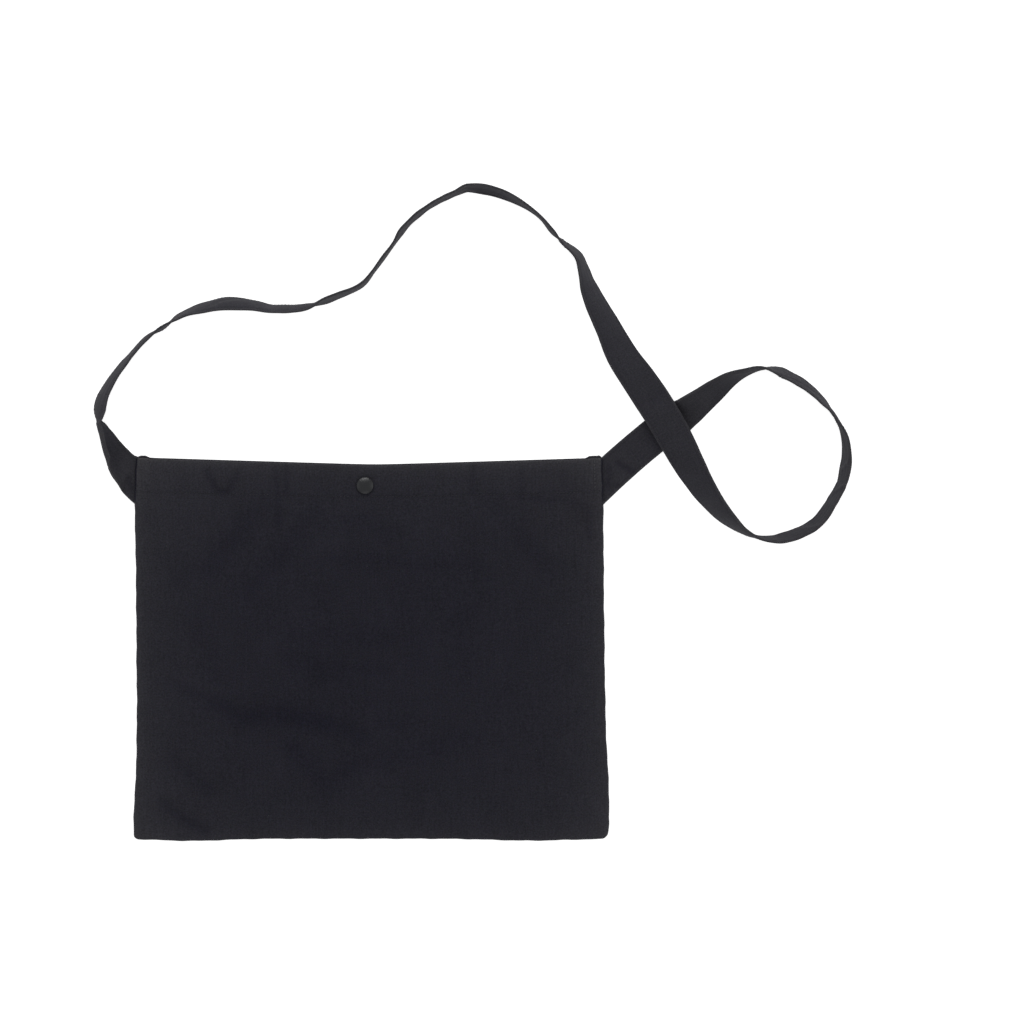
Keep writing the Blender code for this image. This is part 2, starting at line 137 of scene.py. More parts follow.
# Paleness mixed into the cloth. A little even fuzz all over; painted light at the very edge and
# fading inwards, standing for glare off the white surroundings;
# painted shade in the folds; a painted highlight along the rim; painted light on the ears; a smaller
# share on the back so that it lies in painted shade;
# a paler strap with paler borders; painted light on its folded edges; painted highlights on its
# ridges; painted shade in its creases;
# painted light and shade at its curl near the left end; painted light where it lies in shadow
FUZZ_PLAIN = 0.034
PAINTED_EDGE_LIGHT, PAINTED_EDGE_LIGHT_REACH = 0.057, 5
PAINTED_NEAR_LIGHT, PAINTED_NEAR_LIGHT_REACH = 0.059, 36
PAINTED_FOLD_SHADE = 0.028
PAINTED_RIM_HIGHLIGHT = 0.035
EAR_PAINTED_LIGHT = 0.07
BACK_SHARE_IN_SHADE = 0.45
STRAP_PALER = 0.117
STRAP_BORDER_PALER = 0.035
FOLDED_EDGE_PAINTED_LIGHT = 0.05
RIDGE_PAINTED_HIGHLIGHT = 0.06
CREASE_PAINTED_SHADE = 0.045
CURL_PAINTED_LIGHT_AND_SHADE = 0.026
PAINTED_LIGHT_IN_SHADE = 0.03

# The cloth's folds are pressed in deeper than the solids' even ones
FOLD_SHARE = 1.3

SIDE_EDGES = [
    # height, left, right
    (-141.2, 2.2, 2), (-128, 2.2, 3.7), (-105, 1, 3.6), (-75, 0, 2), (-45, -0.3, 1), (0, 0, 0.3),
    (55, 0.4, -0.3), (90, 1, -0.5), (108, 1.4, -0.7), (137.1, 0.2, -1.2),
]

BOTTOM_SWAGS = [
    # middle, drop, spread
    (-133, 1.6, 33),
    (119, 1.4, 38),
]

# Raw ends of the seam allowance that stand up behind the rim's corners
EARS = [
    # foot, top from, top to, far foot, rise
    (-163.5, -166.5, -171, -174.3, 1.5),
    (162, 165.5, 171.5, 174.3, 1.7),
]

FOLDS = [
    # start x, start y, end x, end y, half width, depth
    (-150, -25, -117, -40, 5, 0.45), (-117, -40, -94, -51, 6.5, 0.8),
    (-94, -51, -69, -49.5, 8, 0.85), (-69, -49.5, -32, -56, 8.5, 0.95),
    (-32, -56, -6, -65, 7.5, 0.55), (8, -55, 26, -57, 6, 0.35), (-58, -73, -32, -102, 8, 0.6),
    (-32, -102, -14, -88, 10, 0.55), (-14, -88, 74, -67, 9, 0.42),
    (-154, -115, -140, -126, 4.5, 1.00), (-140, -126, -123, -136, 4.5, 1.15),
    (-147, -84, -122, -104, 7, 0.55), (-122, 133, -117, 122, 2.6, 1.1),
    (-117, 122, -112, 117, 2.8, 1.2), (-112, 117, -105, 118, 2.8, 0.95),
    (-105, 118, -99, 131, 3, 0.85), (-70, 136, -68.5, 94, 2.8, 0.7),
    (-62, 135, -63, 117, 2.5, 0.75), (77, 135, 76, 116, 2.8, 0.65),
    (113, 134, 112, 112, 2.8, 0.6), (143, 130, 147, 117, 3.5, 0.5), (120, 112, 148, 110, 3, 0.6),
    (148, 110, 163, 104, 3.5, 0.6), (163, 104, 164, 84, 3, 0.65), (-80, 108, -120, 60, 9, 0.65),
    (-120, 60, -142, 52, 9, 0.4), (-40, 104, -92, 40, 8, 0.5), (-78, 58, -40, 92, 8, 0.35),
    (-40, 92, -3, 98, 7, 0.35), (-3, 98, 14, 84, 7, 0.4), (94, 108, 132, 60, 9, 0.4),
    (-25, 67, 78, 62, 9, 0.3), (-58, 12, 12, 9, 8, 0.25), (-56, -10, -18, -23, 9, 0.32),
    (-22, -15, 12, -16, 6, 0.35), (-128, 30, -118, -20, 9, 0.25), (22, 40, 36, -12, 10, 0.2),
    (60, 60, 72, -20, 10, 0.18),
]

# Gentle swell of the empty bag's front: plane waves that cross each other
SWELL = [
    # wavelength, direction in degrees, height, phase in degrees
    (118, 24, 0.26, 20), (83, 81, 0.22, 110), (57, 128, 0.13, 230), (39, 47, 0.07, 125),
    (27, 158, 0.04, 290), (17, 101, 0.02, 50), (11, 33, 0.012, 190),
]

# Creases of the strap where it lies flat, seen from above
STRAP_FOLDS = [
    # start x, start y, end x, end y, half width, depth
    (184.9, 138.4, 195.4, 131.9, 2.4, 1.1), (183.2, 121.9, 185.6, 121.4, 1.7, 0.8),
    (177.6, 135, 177.2, 121, 2.6, 0.8), (-180.4, 127.6, -177.8, 119.6, 2.4, 0.9),
    (-190, 140, -188, 133, 2.6, 0.6), (207, 158, 214, 151.5, 5, 0.5),
    (211, 186, 219, 190, 5, 0.5),
]

# Ridges that the strap's bends raise where it stands, along and across the strap
STRAP_RIDGES = [
    # start along, start across, end along, end across, half width, height
    (848.2, 1.5, 839, 18, 1.3, 1.1), (839, 18, 834, 26, 2.4, 0.6),
    (864.2, 5.1, 857.5, 19.8, 1.6, 0.7), (882.9, 19.1, 872.9, 14.3, 1.6, 0.6),
    (930.5, 5.2, 918.2, 17.7, 1.3, 0.8), (952.6, 2.1, 925.5, 11.6, 1.5, 0.8),
    (812, 3, 800, 20, 2.2, 0.5), (779, 4, 772, 22, 1.8, 0.6), (986, 6, 966, 16, 2, 0.6),
    (420, 3, 404, 15, 2.2, 0.5), (505, 2, 497, 22, 1.6, 0.8), (214, 6, 190, 18, 2.2, 0.5),
]

STRAP_ROUTE = [
    # x, y, right lean, left lean, then skew and lift where they aren't 0
    (-167.8, 119.2, 0, 0, 33, STRAP_IN_SEAM), (-175, 126.1, 0, 0, 30, STRAP_IN_SEAM),
    (-177.6, 128.8, 0, 0, 25, STRAP_IN_SEAM), (-181.4, 133, 0, 70, 22, 1.8),
    (-185, 137.7, 2, 90, 11, 1.1), (-188, 143, 0, 130, 4, 0.5), (-190, 146.5, 7, 160, 1, 0.2),
    (-192.4, 150.8, 22, 151), (-195.9, 158.1, 42, 144), (-198, 162.1, 53, 141),
    (-200, 166, 60, 136), (-201.7, 169.4, 72, 121), (-201.7, 173.1, 82, 133),
    (-201.5, 176.8, 92, 129), (-201, 181.3, 98, 122), (-200.1, 185.3, 99, 119),
    (-194.1, 197.7, 96, 112), (-180, 217, 93, 102), (-161.9, 235.3, 82, 100),
    (-155.1, 239.3, 84, 88), (-141.9, 248.2, 94, 100), (-119.1, 255.5, 90, 124),
    (-105.3, 257.5, 91, 130), (-95.3, 257, 91, 128), (-85.8, 255.9, 92, 119),
    (-71.8, 253.5, 93, 112), (-48, 254.9, 80, 117), (-36.5, 258.5, 76, 92),
    (-25.5, 262.8, 82, 80), (-4.2, 273.3, 86, 84), (2, 281.1, 86, 86), (10.2, 292.3, 86, 87),
    (17.3, 301.9, 86, 87), (23.8, 312, 81.5, 84), (41.3, 328.1, 82, 85), (64.1, 340.1, 78, 86),
    (73.4, 343.7, 63, 95), (87.2, 342.2, 53, 98), (109.5, 333.8, 71, 92), (128.6, 319.9, 86, 88),
    (134.9, 312.1, 85, 86), (144.6, 302.2, 95, 96), (151, 297.3, 99, 103), (155, 293, 99, 106),
    (158.6, 283.7, 102, 111), (162.5, 270.3, 108, 126), (166.3, 261.1, 112, 137),
    (177.1, 239.9, 123, 149, 0, 0.1), (187.8, 218.5, 142, 163, 0, 1.2),
    (201.3, 198.9, 162, 172, 0, 4.6), (215.5, 177.3, 185, 190, 0, 7.2),
    (227.4, 156.7, 190, 199, 0, 4.4), (238.7, 135.7, 200, 223, 0, 1.7), (251.3, 115.4, 215, 243),
    (266.9, 97.3, 236, 257), (286.3, 84.2, 256, 283), (300.2, 82.1, 281, 281),
    (310, 83.6, 286, 286), (317.4, 85.9, 287, 286), (331.4, 93.5, 288, 288),
    (345.5, 112.8, 286, 285), (351.1, 123.4, 286, 285), (353.8, 134.9, 287, 287),
    (354.8, 142.8, 285, 284), (353.3, 158.4, 279, 279), (347.8, 170.8, 259, 283),
    (344.4, 176, 258, 278), (340.6, 180.8, 262, 268), (323.2, 197.1, 257, 257),
    (311.1, 204, 256, 255), (301.8, 208, 260, 260), (292.2, 209.4, 267, 278),
    (278.6, 205.9, 280, 283), (267.9, 200.9, 291, 299), (258.1, 193.8, 298, 313),
    (245, 183.6, 309, 331), (236.5, 177.1, 309, 355), (229, 171.9, 330, 370),
    (219.8, 165.5, 355, 364), (201.2, 150.7, 360, 360), (183.4, 135.1, 360, 360, -30, 1.4),
    (167.1, 119.8, 360, 360, -48, STRAP_IN_SEAM),
]


# Shapes
def smooth(t):
    """Rise from 0 to 1 with level ends while t goes from 0 to 1."""
    t = np.clip(t, 0, 1)
    return t * t * (3 - 2 * t)


def fall(distance, reach):
    """Sink from 1 to 0 while the distance grows to the reach."""
    return 1 - smooth(distance / reach)


def crest(t):
    """Rise from 0 to 1 as a quarter of a sine wave."""
    return np.sin(0.5 * math.pi * np.clip(t, 0, 1))


def bell(distance, width):
    """A bump of height 1 that dies away over the width, like a drop of ink in water."""
    return np.exp(-((distance / width) ** 2))


def rounding(distance, radius):
    """How far a quarter-round edge lies below its flat face, at a distance from the edge."""
    inward = radius - np.clip(distance, 0, radius)
    return radius - np.sqrt(radius**2 - inward**2)


def curve_through(knots, values, at):
    """Smooth cubic curve through the values, level at each knot where they turn back."""
    slopes = np.gradient(values, knots, axis=0)
    change = np.diff(values, axis=0)
    slopes[1:-1][change[:-1] * change[1:] <= 0] = 0
    low = np.clip(np.searchsorted(knots, at, side="right") - 1, 0, len(knots) - 2)
    span = knots[low + 1] - knots[low]
    t = (at - knots[low]) / span
    if values.ndim == 2:
        t = t[:, None]
        span = span[:, None]
    start = (2 * t**3 - 3 * t**2 + 1) * values[low]
    end = (3 * t**2 - 2 * t**3) * values[low + 1]
    leaving = (t**3 - 2 * t**2 + t) * span * slopes[low]
    arriving = (t**3 - t**2) * span * slopes[low + 1]
    return start + end + leaving + arriving


def mesh_object(name, vertices, faces, mat, uv=None, rub=None):
    """A closed smooth mesh from points in millimetres, with its faces turned outwards.

    The sign of the volume that the faces enclose tells whether they all have to be reversed.
    """
    points = np.asarray(vertices, dtype=float)
    a, b, c, d = (points[faces[:, i]] for i in range(4))
    volume = np.einsum("ij,ij->i", a, np.cross(b, c) + np.cross(c, d)).sum()
    if volume < 0:
        faces = faces[:, ::-1]
    mesh = bpy.data.meshes.new(name)
    corners = [list(dict.fromkeys(quad)) for quad in faces.tolist()]
    mesh.from_pydata((points * MM).tolist(), [], corners)
    if uv is not None:
        layer = mesh.uv_layers.new(name="cloth")
        index = np.empty(len(mesh.loops), dtype=np.int32)
        mesh.loops.foreach_get("vertex_index", index)
        layer.data.foreach_set("uv", (uv * MM)[index].ravel())
    if rub is not None:
        mesh.attributes.new("rub", "FLOAT", "POINT").data.foreach_set("value", rub)
    mesh.validate()
    mesh.shade_smooth()
    mesh.materials.append(mat)
    obj = bpy.data.objects.new(name, mesh)
    bpy.context.scene.collection.objects.link(obj)
    return obj


def snap_distance(x, y):
    """Distance in plan from the middle of the snap."""
    return np.hypot(x - SNAP_X, y - SNAP_Y)


def grid_lines(low, high, spacing):
    """Grid positions between two edges, close together at both edges and even in between."""
    close = np.array([0, 0.12, 0.35, 0.7, 1.1, 1.6, 2.3, 3.2])
    count = int((high - low - 8) / spacing)
    inner = np.linspace(low + 4, high - 4, count)
    return np.r_[low + close, inner, (high - close)[::-1]]


def round_corners(across, up):
    """Pull the two bottom corners of the plain rectangle in to quarter circles."""
    side = (np.abs(across) - (BAG_HALF_WIDTH - CORNER_RADIUS)) / CORNER_RADIUS
    low = (BAG_BOTTOM + CORNER_RADIUS - up) / CORNER_RADIUS
    side = np.clip(side, 0, 1)
    low = np.clip(low, 0, 1)
    pull_side = CORNER_RADIUS * side * (1 - np.sqrt(1 - low**2 / 2))
    pull_low = CORNER_RADIUS * low * (1 - np.sqrt(1 - side**2 / 2))
    return across - np.sign(across) * pull_side, up + pull_low


def ears(across):
    """Rise of the rim where the raw seam allowance stands up at each corner, a little frayed."""
    rise = np.zeros_like(across)
    for foot, top_from, top_to, far_foot, height in EARS:
        to_top = smooth((across - foot) / (top_from - foot))
        past_top = smooth((across - top_to) / (far_foot - top_to))
        rise = np.maximum(rise, height * to_top * (1 - past_top))
    fray = 0.16 * np.sin(9 * across) + 0.1 * np.sin(23 * across + 1)
    return rise * (1 + fray)


def outline(across, up, rim_raise, ear_share):
    """Move the points of the plain rectangle to the bag's real, slightly uneven outline."""
    x, y = round_corners(across, up)
    edges = np.array(SIDE_EDGES)
    left_out = curve_through(edges[:, 0], edges[:, 1], up.ravel()).reshape(up.shape)
    right_out = curve_through(edges[:, 0], edges[:, 2], up.ravel()).reshape(up.shape)
    wave = 0.14 * np.sin(up / 3.1 + 1) + 0.11 * np.sin(up / 7.7) + 0.05 * np.sin(up / 1.3)
    x -= left_out * fall(across + BAG_HALF_WIDTH, SIDE_REACH)
    x += right_out * fall(BAG_HALF_WIDTH - across, SIDE_REACH)
    x += wave * fall(BAG_HALF_WIDTH - np.abs(across), 6)
    for middle, drop, spread in BOTTOM_SWAGS:
        sag = drop * np.exp(-(((across - middle) / spread) ** 2))
        y -= sag * fall(up - BAG_BOTTOM, BOTTOM_REACH)
    wave = 0.14 * np.sin(across / 4.3) + 0.08 * np.sin(across / 2.1 + 2)
    y += wave * fall(up - BAG_BOTTOM, 6)
    off_middle = np.hypot(across - RIM_LOWEST_X, RIM_SOFTNESS) - RIM_SOFTNESS
    climb = RIM_SLOPE * off_middle + rim_raise
    y += climb * fall(BAG_RIM - up, RIM_REACH)
    y += ear_share * ears(across) * fall(BAG_RIM - up, 4)
    return x, y


def layers(across, up):
    """Thickness of a panel: one layer of cloth, two along the turned seams and in the hem."""
    side = BAG_HALF_WIDTH - np.abs(across)
    from_edge = np.minimum(side, up - BAG_BOTTOM)
    turned = fall(from_edge - (SEAM_ALLOWANCE - STEP_WIDTH), STEP_WIDTH)
    hem = smooth((up - (HEM_LINE - STEP_WIDTH)) / STEP_WIDTH)
    return CLOTH * (1 + np.maximum(turned, hem))


def troughs(x, y, table):
    """Depth of pressed-in folds: each is a soft trough along its own line."""
    depth = np.zeros_like(x)
    for x0, y0, x1, y1, half_width, deep in table:
        run = (x1 - x0) ** 2 + (y1 - y0) ** 2
        along = np.clip(((x - x0) * (x1 - x0) + (y - y0) * (y1 - y0)) / run, 0, 1)
        away = np.hypot(x - x0 - along * (x1 - x0), y - y0 - along * (y1 - y0))
        depth = np.maximum(depth, deep * bell(away, half_width))
    return depth


def swell(x, y):
    """Sum of the crossing plane waves, bent a little so that no wave runs straight."""
    bent_x = x + 13 * np.sin(y / 37 + 1)
    bent_y = y + 11 * np.sin(x / 46 + 2)
    height = np.zeros_like(x)
    for wavelength, direction, high, phase in SWELL:
        turn = math.radians(direction)
        travel = bent_x * math.cos(turn) + bent_y * math.sin(turn)
        wave = np.sin(2 * math.pi * travel / wavelength + math.radians(phase))
        height += high * wave
    return height


def hem_relief(across, up):
    """Turned edge, stitch groove and puckers along the hem.

    The cloth steps up where the turned edge starts. The stitches pull a narrow groove into it,
    and from there short puckers run up and down and die away.
    """
    from_stitch = up - HEM_STITCH
    step = 0.35 * smooth((from_stitch + 3) / 2.2)
    groove = -0.34 * bell(from_stitch, 0.9)
    pull = np.sin(across / 1.15 + 1.4 * np.sin(across / 17)) * bell(from_stitch, 3)
    pucker = np.sin(across / 3.3 + 2 * np.sin(across / 23)) * bell(from_stitch - 2, 8)
    return step + groove + 0.05 * pull + 0.09 * pucker


def seam_relief(side, above_bottom, across, up):
    """Soft ridge over the seam allowance and small puckers along the sewn edges."""
    edge = np.minimum(side, above_bottom)
    ridge = 0.22 * fall(edge - 7.5, 3.5)
    along = np.where(side < above_bottom, up, across)
    pucker = np.sin(along / 1.9 + 2.2 * np.sin(along / 19)) * bell(edge - 1.5, 4.5)
    return ridge + 0.1 * pucker


def front_faces(across, up, x, y):
    """Heights of the front cloth's outer and inner face."""
    side = BAG_HALF_WIDTH - np.abs(across)
    above_bottom = up - BAG_BOTTOM
    seam = SEAM_TOP + SLOT_LIFT * smooth((up - SLOT_FROM) / SLOT_BLEND)
    near_snap = fall(snap_distance(x, y) - SNAP_FLAT, SNAP_BLEND)
    crown = CROWN - (CROWN - FRONT_AT_SNAP) * near_snap
    rise = crest(side / SIDE_RISE) * crest(above_bottom / BOTTOM_RISE)
    outer = seam + (crown - seam) * rise - FOLD_SHARE * troughs(x, y, FOLDS) * (1 - near_snap)
    free = np.clip(np.minimum(side, above_bottom) / 14, 0, 1) * (1 - near_snap)
    bent = swell(x, y) * free
    relief = hem_relief(across, up) * np.clip(side / 6, 0, 1)
    relief += seam_relief(side, above_bottom, across, up)
    snap_ring = snap_distance(x, y)
    radial = np.arctan2(y - SNAP_Y, x - SNAP_X)
    pressed = -0.45 * bell(snap_ring - 6.2, 2)
    pressed += 0.07 * np.sin(7 * radial + 1) * bell(snap_ring - 9, 3.5)
    inner = outer + bent - layers(across, up)
    outer = outer + bent + relief + pressed
    outer = outer - rounding(np.minimum(side, above_bottom), FRONT_EDGE_ROUND)
    rim = rounding(BAG_RIM - up, RIM_ROUND)
    return outer - rim, inner + rim


def back_faces(across, up, x, y):
    """Heights of the back cloth's inner face and of the face that lies on the floor."""
    side = BAG_HALF_WIDTH - np.abs(across)
    lifted = BACK_AT_SNAP * fall(snap_distance(x, y) - SNAP_FLAT, FLANGE_BLEND)
    inner = lifted + layers(across, up)
    groove = 0.4 * bell(up - HEM_STITCH, 0.9) * np.clip(side / 6, 0, 1)
    outer = lifted + groove + rounding(np.minimum(side, up - BAG_BOTTOM), BACK_EDGE_ROUND)
    rim = rounding(BAG_RIM - up, RIM_ROUND)
    return inner - rim, outer + rim


def panel_paleness_and_painted_light(across, up, x, y):
    """Share of paleness and painted light on a panel.

    Every edge adds two falling exponentials of the distance from it, painted light that stands for
    glare, and folds take some away as painted shade.
    """
    # Even fuzz all over, taken away in the folds as painted shade
    fuzz_and_light = FUZZ_PLAIN - PAINTED_FOLD_SHADE * troughs(x, y, FOLDS)
    side = BAG_HALF_WIDTH - np.abs(across)
    # Painted light at every edge, fading inwards, standing for glare off the white surroundings
    for distance, share in ((across + BAG_HALF_WIDTH, 1), (BAG_HALF_WIDTH - across, 0.9),
                            (up - BAG_BOTTOM, 0.6), (BAG_RIM - up, 1)):
        fuzz_and_light += share * PAINTED_EDGE_LIGHT * np.exp(-distance / PAINTED_EDGE_LIGHT_REACH)
        fuzz_and_light += share * PAINTED_NEAR_LIGHT * np.exp(-distance / PAINTED_NEAR_LIGHT_REACH)
    # Painted highlight along the rounded rim
    fuzz_and_light += PAINTED_RIM_HIGHLIGHT * bell(BAG_RIM - up, 1.5)
    # Painted shade in the hem's stitch groove
    fuzz_and_light -= 0.01 * bell(up - HEM_STITCH, 1)
    # Painted shade in the groove at the top of the side seams, where the strap's ends go in
    seam_groove_shade = smooth((up - 104) / 5) * fall(side - 0.6, 1)
    return np.maximum(fuzz_and_light * (1 - seam_groove_shade), 0)


def grid_quads(index):
    """The four corners of every cell of a grid of vertex numbers."""
    cells = [index[:-1, :-1], index[:-1, 1:], index[1:, 1:], index[1:, :-1]]
    return np.stack(cells, axis=-1).reshape(-1, 4)


def cloth_panel(name, spacing, faces_of, rim_raise, ear_share, paleness_and_light_share, mat):
    """A cloth panel: an upper and a lower grid of points, joined all round their edge."""
    columns = grid_lines(-BAG_HALF_WIDTH, BAG_HALF_WIDTH, spacing)
    rows = grid_lines(BAG_BOTTOM, BAG_RIM, spacing)
    across, up = np.meshgrid(columns, rows)
    x, y = outline(across, up, rim_raise, ear_share)
    upper, lower = faces_of(across, up, x, y)
    top = np.stack([x, y, upper], axis=-1).reshape(-1, 3)
    bottom = np.stack([x, y, lower], axis=-1).reshape(-1, 3)
    count = len(top)
    index = np.arange(count).reshape(x.shape)
    border = np.r_[index[0, :], index[1:, -1], index[-1, -2::-1], index[-2:0:-1, 0]]
    onward = np.roll(border, -1)
    wall = np.stack([onward, border, border + count, onward + count], axis=-1)
    quads = grid_quads(index)
    faces = np.r_[quads, quads[:, ::-1] + count, wall]
    # Painted light that lifts the ears out of the front rim's shade
    ear_painted_light = EAR_PAINTED_LIGHT * ear_share * ears(across) * bell(BAG_RIM - up, 1.2)
    rub = np.tile((paleness_and_light_share * panel_paleness_and_painted_light(across, up, x, y) + ear_painted_light).ravel(), 2)
    return mesh_object(name, np.r_[top, bottom], faces, mat, rub=rub)


def punch_snap_hole(obj):
    """Cut the hole for the snap's post through the cloth with a round bar, then drop the bar."""
    bpy.ops.mesh.primitive_cylinder_add(vertices=32, radius=HOLE_RADIUS * MM, depth=0.04,
                                        location=(SNAP_X * MM, SNAP_Y * MM, 0))
    bar = bpy.context.object
    hole = obj.modifiers.new("snap_hole", "BOOLEAN")
    hole.operation = "DIFFERENCE"
    hole.object = bar
    hole.solver = "EXACT"
    bpy.context.view_layer.objects.active = obj
    bpy.ops.object.modifier_apply(modifier=hole.name)
    bpy.data.objects.remove(bar, do_unlink=True)


def strap_across():
    """Positions across the strap and half its thickness there.

    Both borders are folded, so the half thickness follows a quarter circle up from each edge.
    Inside each border a stitch line presses a narrow groove into both faces.
    """
    border = np.array([0, 0.1, 0.3, 0.6, 1, 1.5, 2, 2.3, 2.6, 3.1])
    middle = np.linspace(4.2, STRAP_WIDTH - 4.2, 14)
    place = np.r_[border, middle, (STRAP_WIDTH - border)[::-1]]
    edge = np.minimum(place, STRAP_WIDTH - place)
    inward = 1 - np.clip(edge / 0.9, 0, 1)
    half = 0.5 * STRAP_THICKNESS * np.sqrt(1 - inward**2)
    return place, half - 0.14 * bell(edge - STRAP_STITCH, 0.45)


def strap_line(stations_wanted):
    """The strap's middle line at even steps along its route: rows of the table and headings."""
    table = np.array([(*row, 0, 0)[:6] for row in STRAP_ROUTE], dtype=float)
    chords = np.hypot(*np.diff(table[:, :2], axis=0).T)
    knots = np.r_[0, np.cumsum(chords)]
    stations = np.linspace(0, knots[-1], stations_wanted)
    rows = curve_through(knots, table, stations)
    heading = np.gradient(rows[:, :2], stations, axis=0)
    return stations, rows, heading


def strap_wrinkles(s, w, length):
    """How far the strap bows out of its plane at a place along and across it.

    Long waves, shorter slanting ones and a ruffle at both borders, all dying away at the two
    sewn ends.
    """
    v = w / STRAP_WIDTH - 0.5
    ends = smooth(s / 30) * smooth((length - s) / 30)
    long_wave = 0.2 * np.sin(s / 7.9 + 1.1 * np.sin(s / 41)) * np.cos(2.2 * v)
    slant = 0.1 * np.sin(s / 4.1 + 4 * v + 2 * np.sin(s / 29))
    fine = 0.035 * np.sin(s / 1.9 - 6 * v + 2 * np.sin(s / 13))
    ruffle = 0.1 * np.sin(s / 2.7 + 3 * np.sin(s / 21) + 3 * v) * (2 * np.abs(v)) ** 3
    lengthwise = 0.05 * np.sin(w * 1.1 + 2 * np.sin(s / 33)) * (1 + np.sin(s / 61))
    return ends * (long_wave + slant + fine + ruffle + lengthwise)


def strap_surface(stations_wanted):
    """Both faces of the strap on a grid: stations along it, places across it.

    At each station the strap's lean changes evenly from its right border to its left one, so
    its middle line there is an arc. Near the left seam it changes mostly at the left border,
    which curls over. The wrinkles move the middle line along its normal, and
    the two faces lie half a thickness to either side. The section is centred on the route and
    its lowest point set to the lift.
    """
    place, half = strap_across()
    stations, rows, heading = strap_line(stations_wanted)
    x, y, right_lean, left_lean, skew, lift = rows.T
    power = 1 + CURL_POWER * fall(stations - CURL_UNTIL, CURL_FADE)
    share = (place / STRAP_WIDTH) ** power[:, None]
    lean = np.radians(right_lean[:, None] + (left_lean - right_lean)[:, None] * share)
    step = np.diff(place) / np.cos(np.radians(skew))[:, None]
    mean_lean = 0.5 * (lean[:, 1:] + lean[:, :-1])
    start = np.zeros((len(stations), 1))
    left = np.c_[start, np.cumsum(step * np.cos(mean_lean), axis=1)]
    height = np.c_[start, np.cumsum(step * np.sin(mean_lean), axis=1)]
    along, across = np.meshgrid(stations, place, indexing="ij")
    bow = strap_wrinkles(along, across, stations[-1]) + troughs(along, across, STRAP_RIDGES)
    left = left - bow * np.sin(lean)
    height += bow * np.cos(lean)
    sides = []
    for sign in (1, -1):
        sides.append(np.stack([left - sign * half * np.sin(lean),
                               height + sign * half * np.cos(lean)], axis=-1))
    both = np.hstack(sides)
    middle = 0.5 * (both[:, :, 0].min(axis=1) + both[:, :, 0].max(axis=1))
    lowest = both[:, :, 1].min(axis=1)
    swing = np.arctan2(heading[:, 1], heading[:, 0]) + np.radians(90 + skew)
    faces = []
    for side in sides:
        out = side[:, :, 0] - middle[:, None]
        px = x[:, None] + out * np.cos(swing)[:, None]
        py = y[:, None] + out * np.sin(swing)[:, None]
        pz = side[:, :, 1] - lowest[:, None] + np.maximum(lift, 0)[:, None]
        lies_flat = np.abs(np.cos(lean))
        pz -= troughs(px, py, STRAP_FOLDS) * lies_flat * smooth((pz - 0.1) / 1.2)
        faces.append(np.stack([px, py, pz], axis=-1))
    return stations, place, faces[0], faces[1]


def strap_cloth(mat):
    """The strap: its two faces share the vertices of both folded borders and close at the ends."""
    stations, place, over, under = strap_surface(930)
    ring = np.hstack([over, under[:, -2:0:-1]])
    count, around, _ = ring.shape
    index = np.arange(count * around).reshape(count, around)
    sides = grid_quads(np.c_[index, index[:, :1]])
    last = len(place) - 1
    caps = []
    for row in (index[0], index[-1][::-1]):
        if row[0] > row[-1]:
            row = np.roll(row, 1)
        far = np.roll(row[::-1], 1)
        strip = np.stack([row[:last], row[1:last + 1], far[1:last + 1], far[:last]], axis=-1)
        caps.append(strip)
    along = np.repeat(stations[:, None], around, axis=1)
    across = np.tile(np.r_[place, place[-2:0:-1]], (count, 1))
    uv = np.stack([across, along], axis=-1).reshape(-1, 2)
    edge = np.minimum(across, STRAP_WIDTH - across)
    # The strap is paler all over and paler at its borders, with painted shade in its stitch grooves
    rub = STRAP_PALER + STRAP_BORDER_PALER * fall(edge - 1.2, 2.4) - 0.03 * bell(edge - STRAP_STITCH, 0.5)
    # Painted light along the folded edges and painted highlights on the ridges
    rub += FOLDED_EDGE_PAINTED_LIGHT * bell(edge, 0.7) + RIDGE_PAINTED_HIGHLIGHT * troughs(along, across, STRAP_RIDGES)
    # Painted shade in the creases where the strap lies flat
    rub -= CREASE_PAINTED_SHADE * troughs(ring[:, :, 0], ring[:, :, 1], STRAP_FOLDS)
    # Painted light on the curled band and painted shade beside it, near the left end
    curl_light_and_shade = smooth((across - 19) / 2.5) - 1.1 * bell(across - 10, 9)
    rub += CURL_PAINTED_LIGHT_AND_SHADE * curl_light_and_shade * bell(along - 47, 17)
    # Painted light where the strap lies in shadow: near its left end and where it runs under its
    # other end
    lifted_from_shade = bell(along - 26, 19) + 1.2 * bell(along - 1027, 17)
    rub = np.maximum(rub + PAINTED_LIGHT_IN_SHADE * lifted_from_shade, 0)
    faces = np.vstack([sides, *caps])
    return mesh_object("strap_cloth", ring.reshape(-1, 3), faces, mat, uv, rub.ravel())


def unit_stitch(length, radius):
    """Rings of points round one stitch that lies along x and dives at both ends.

    Its centre line is half a wave, and its radius shrinks at both ends as on a grain of rice.
    """
    t = np.linspace(-1, 1, 7)
    turn = np.linspace(0, 2 * math.pi, 7)[:-1]
    thick = radius * np.sqrt(np.clip(1 - 0.86 * t**6, 0, 1))
    centre = np.stack([0.5 * length * t, 0 * t, radius * (1 - 2.1 * t**4)], axis=-1)
    ring = np.stack([0 * turn, np.cos(turn), np.sin(turn)], axis=-1)
    return centre[:, None, :] + thick[:, None, None] * ring[None, :, :]


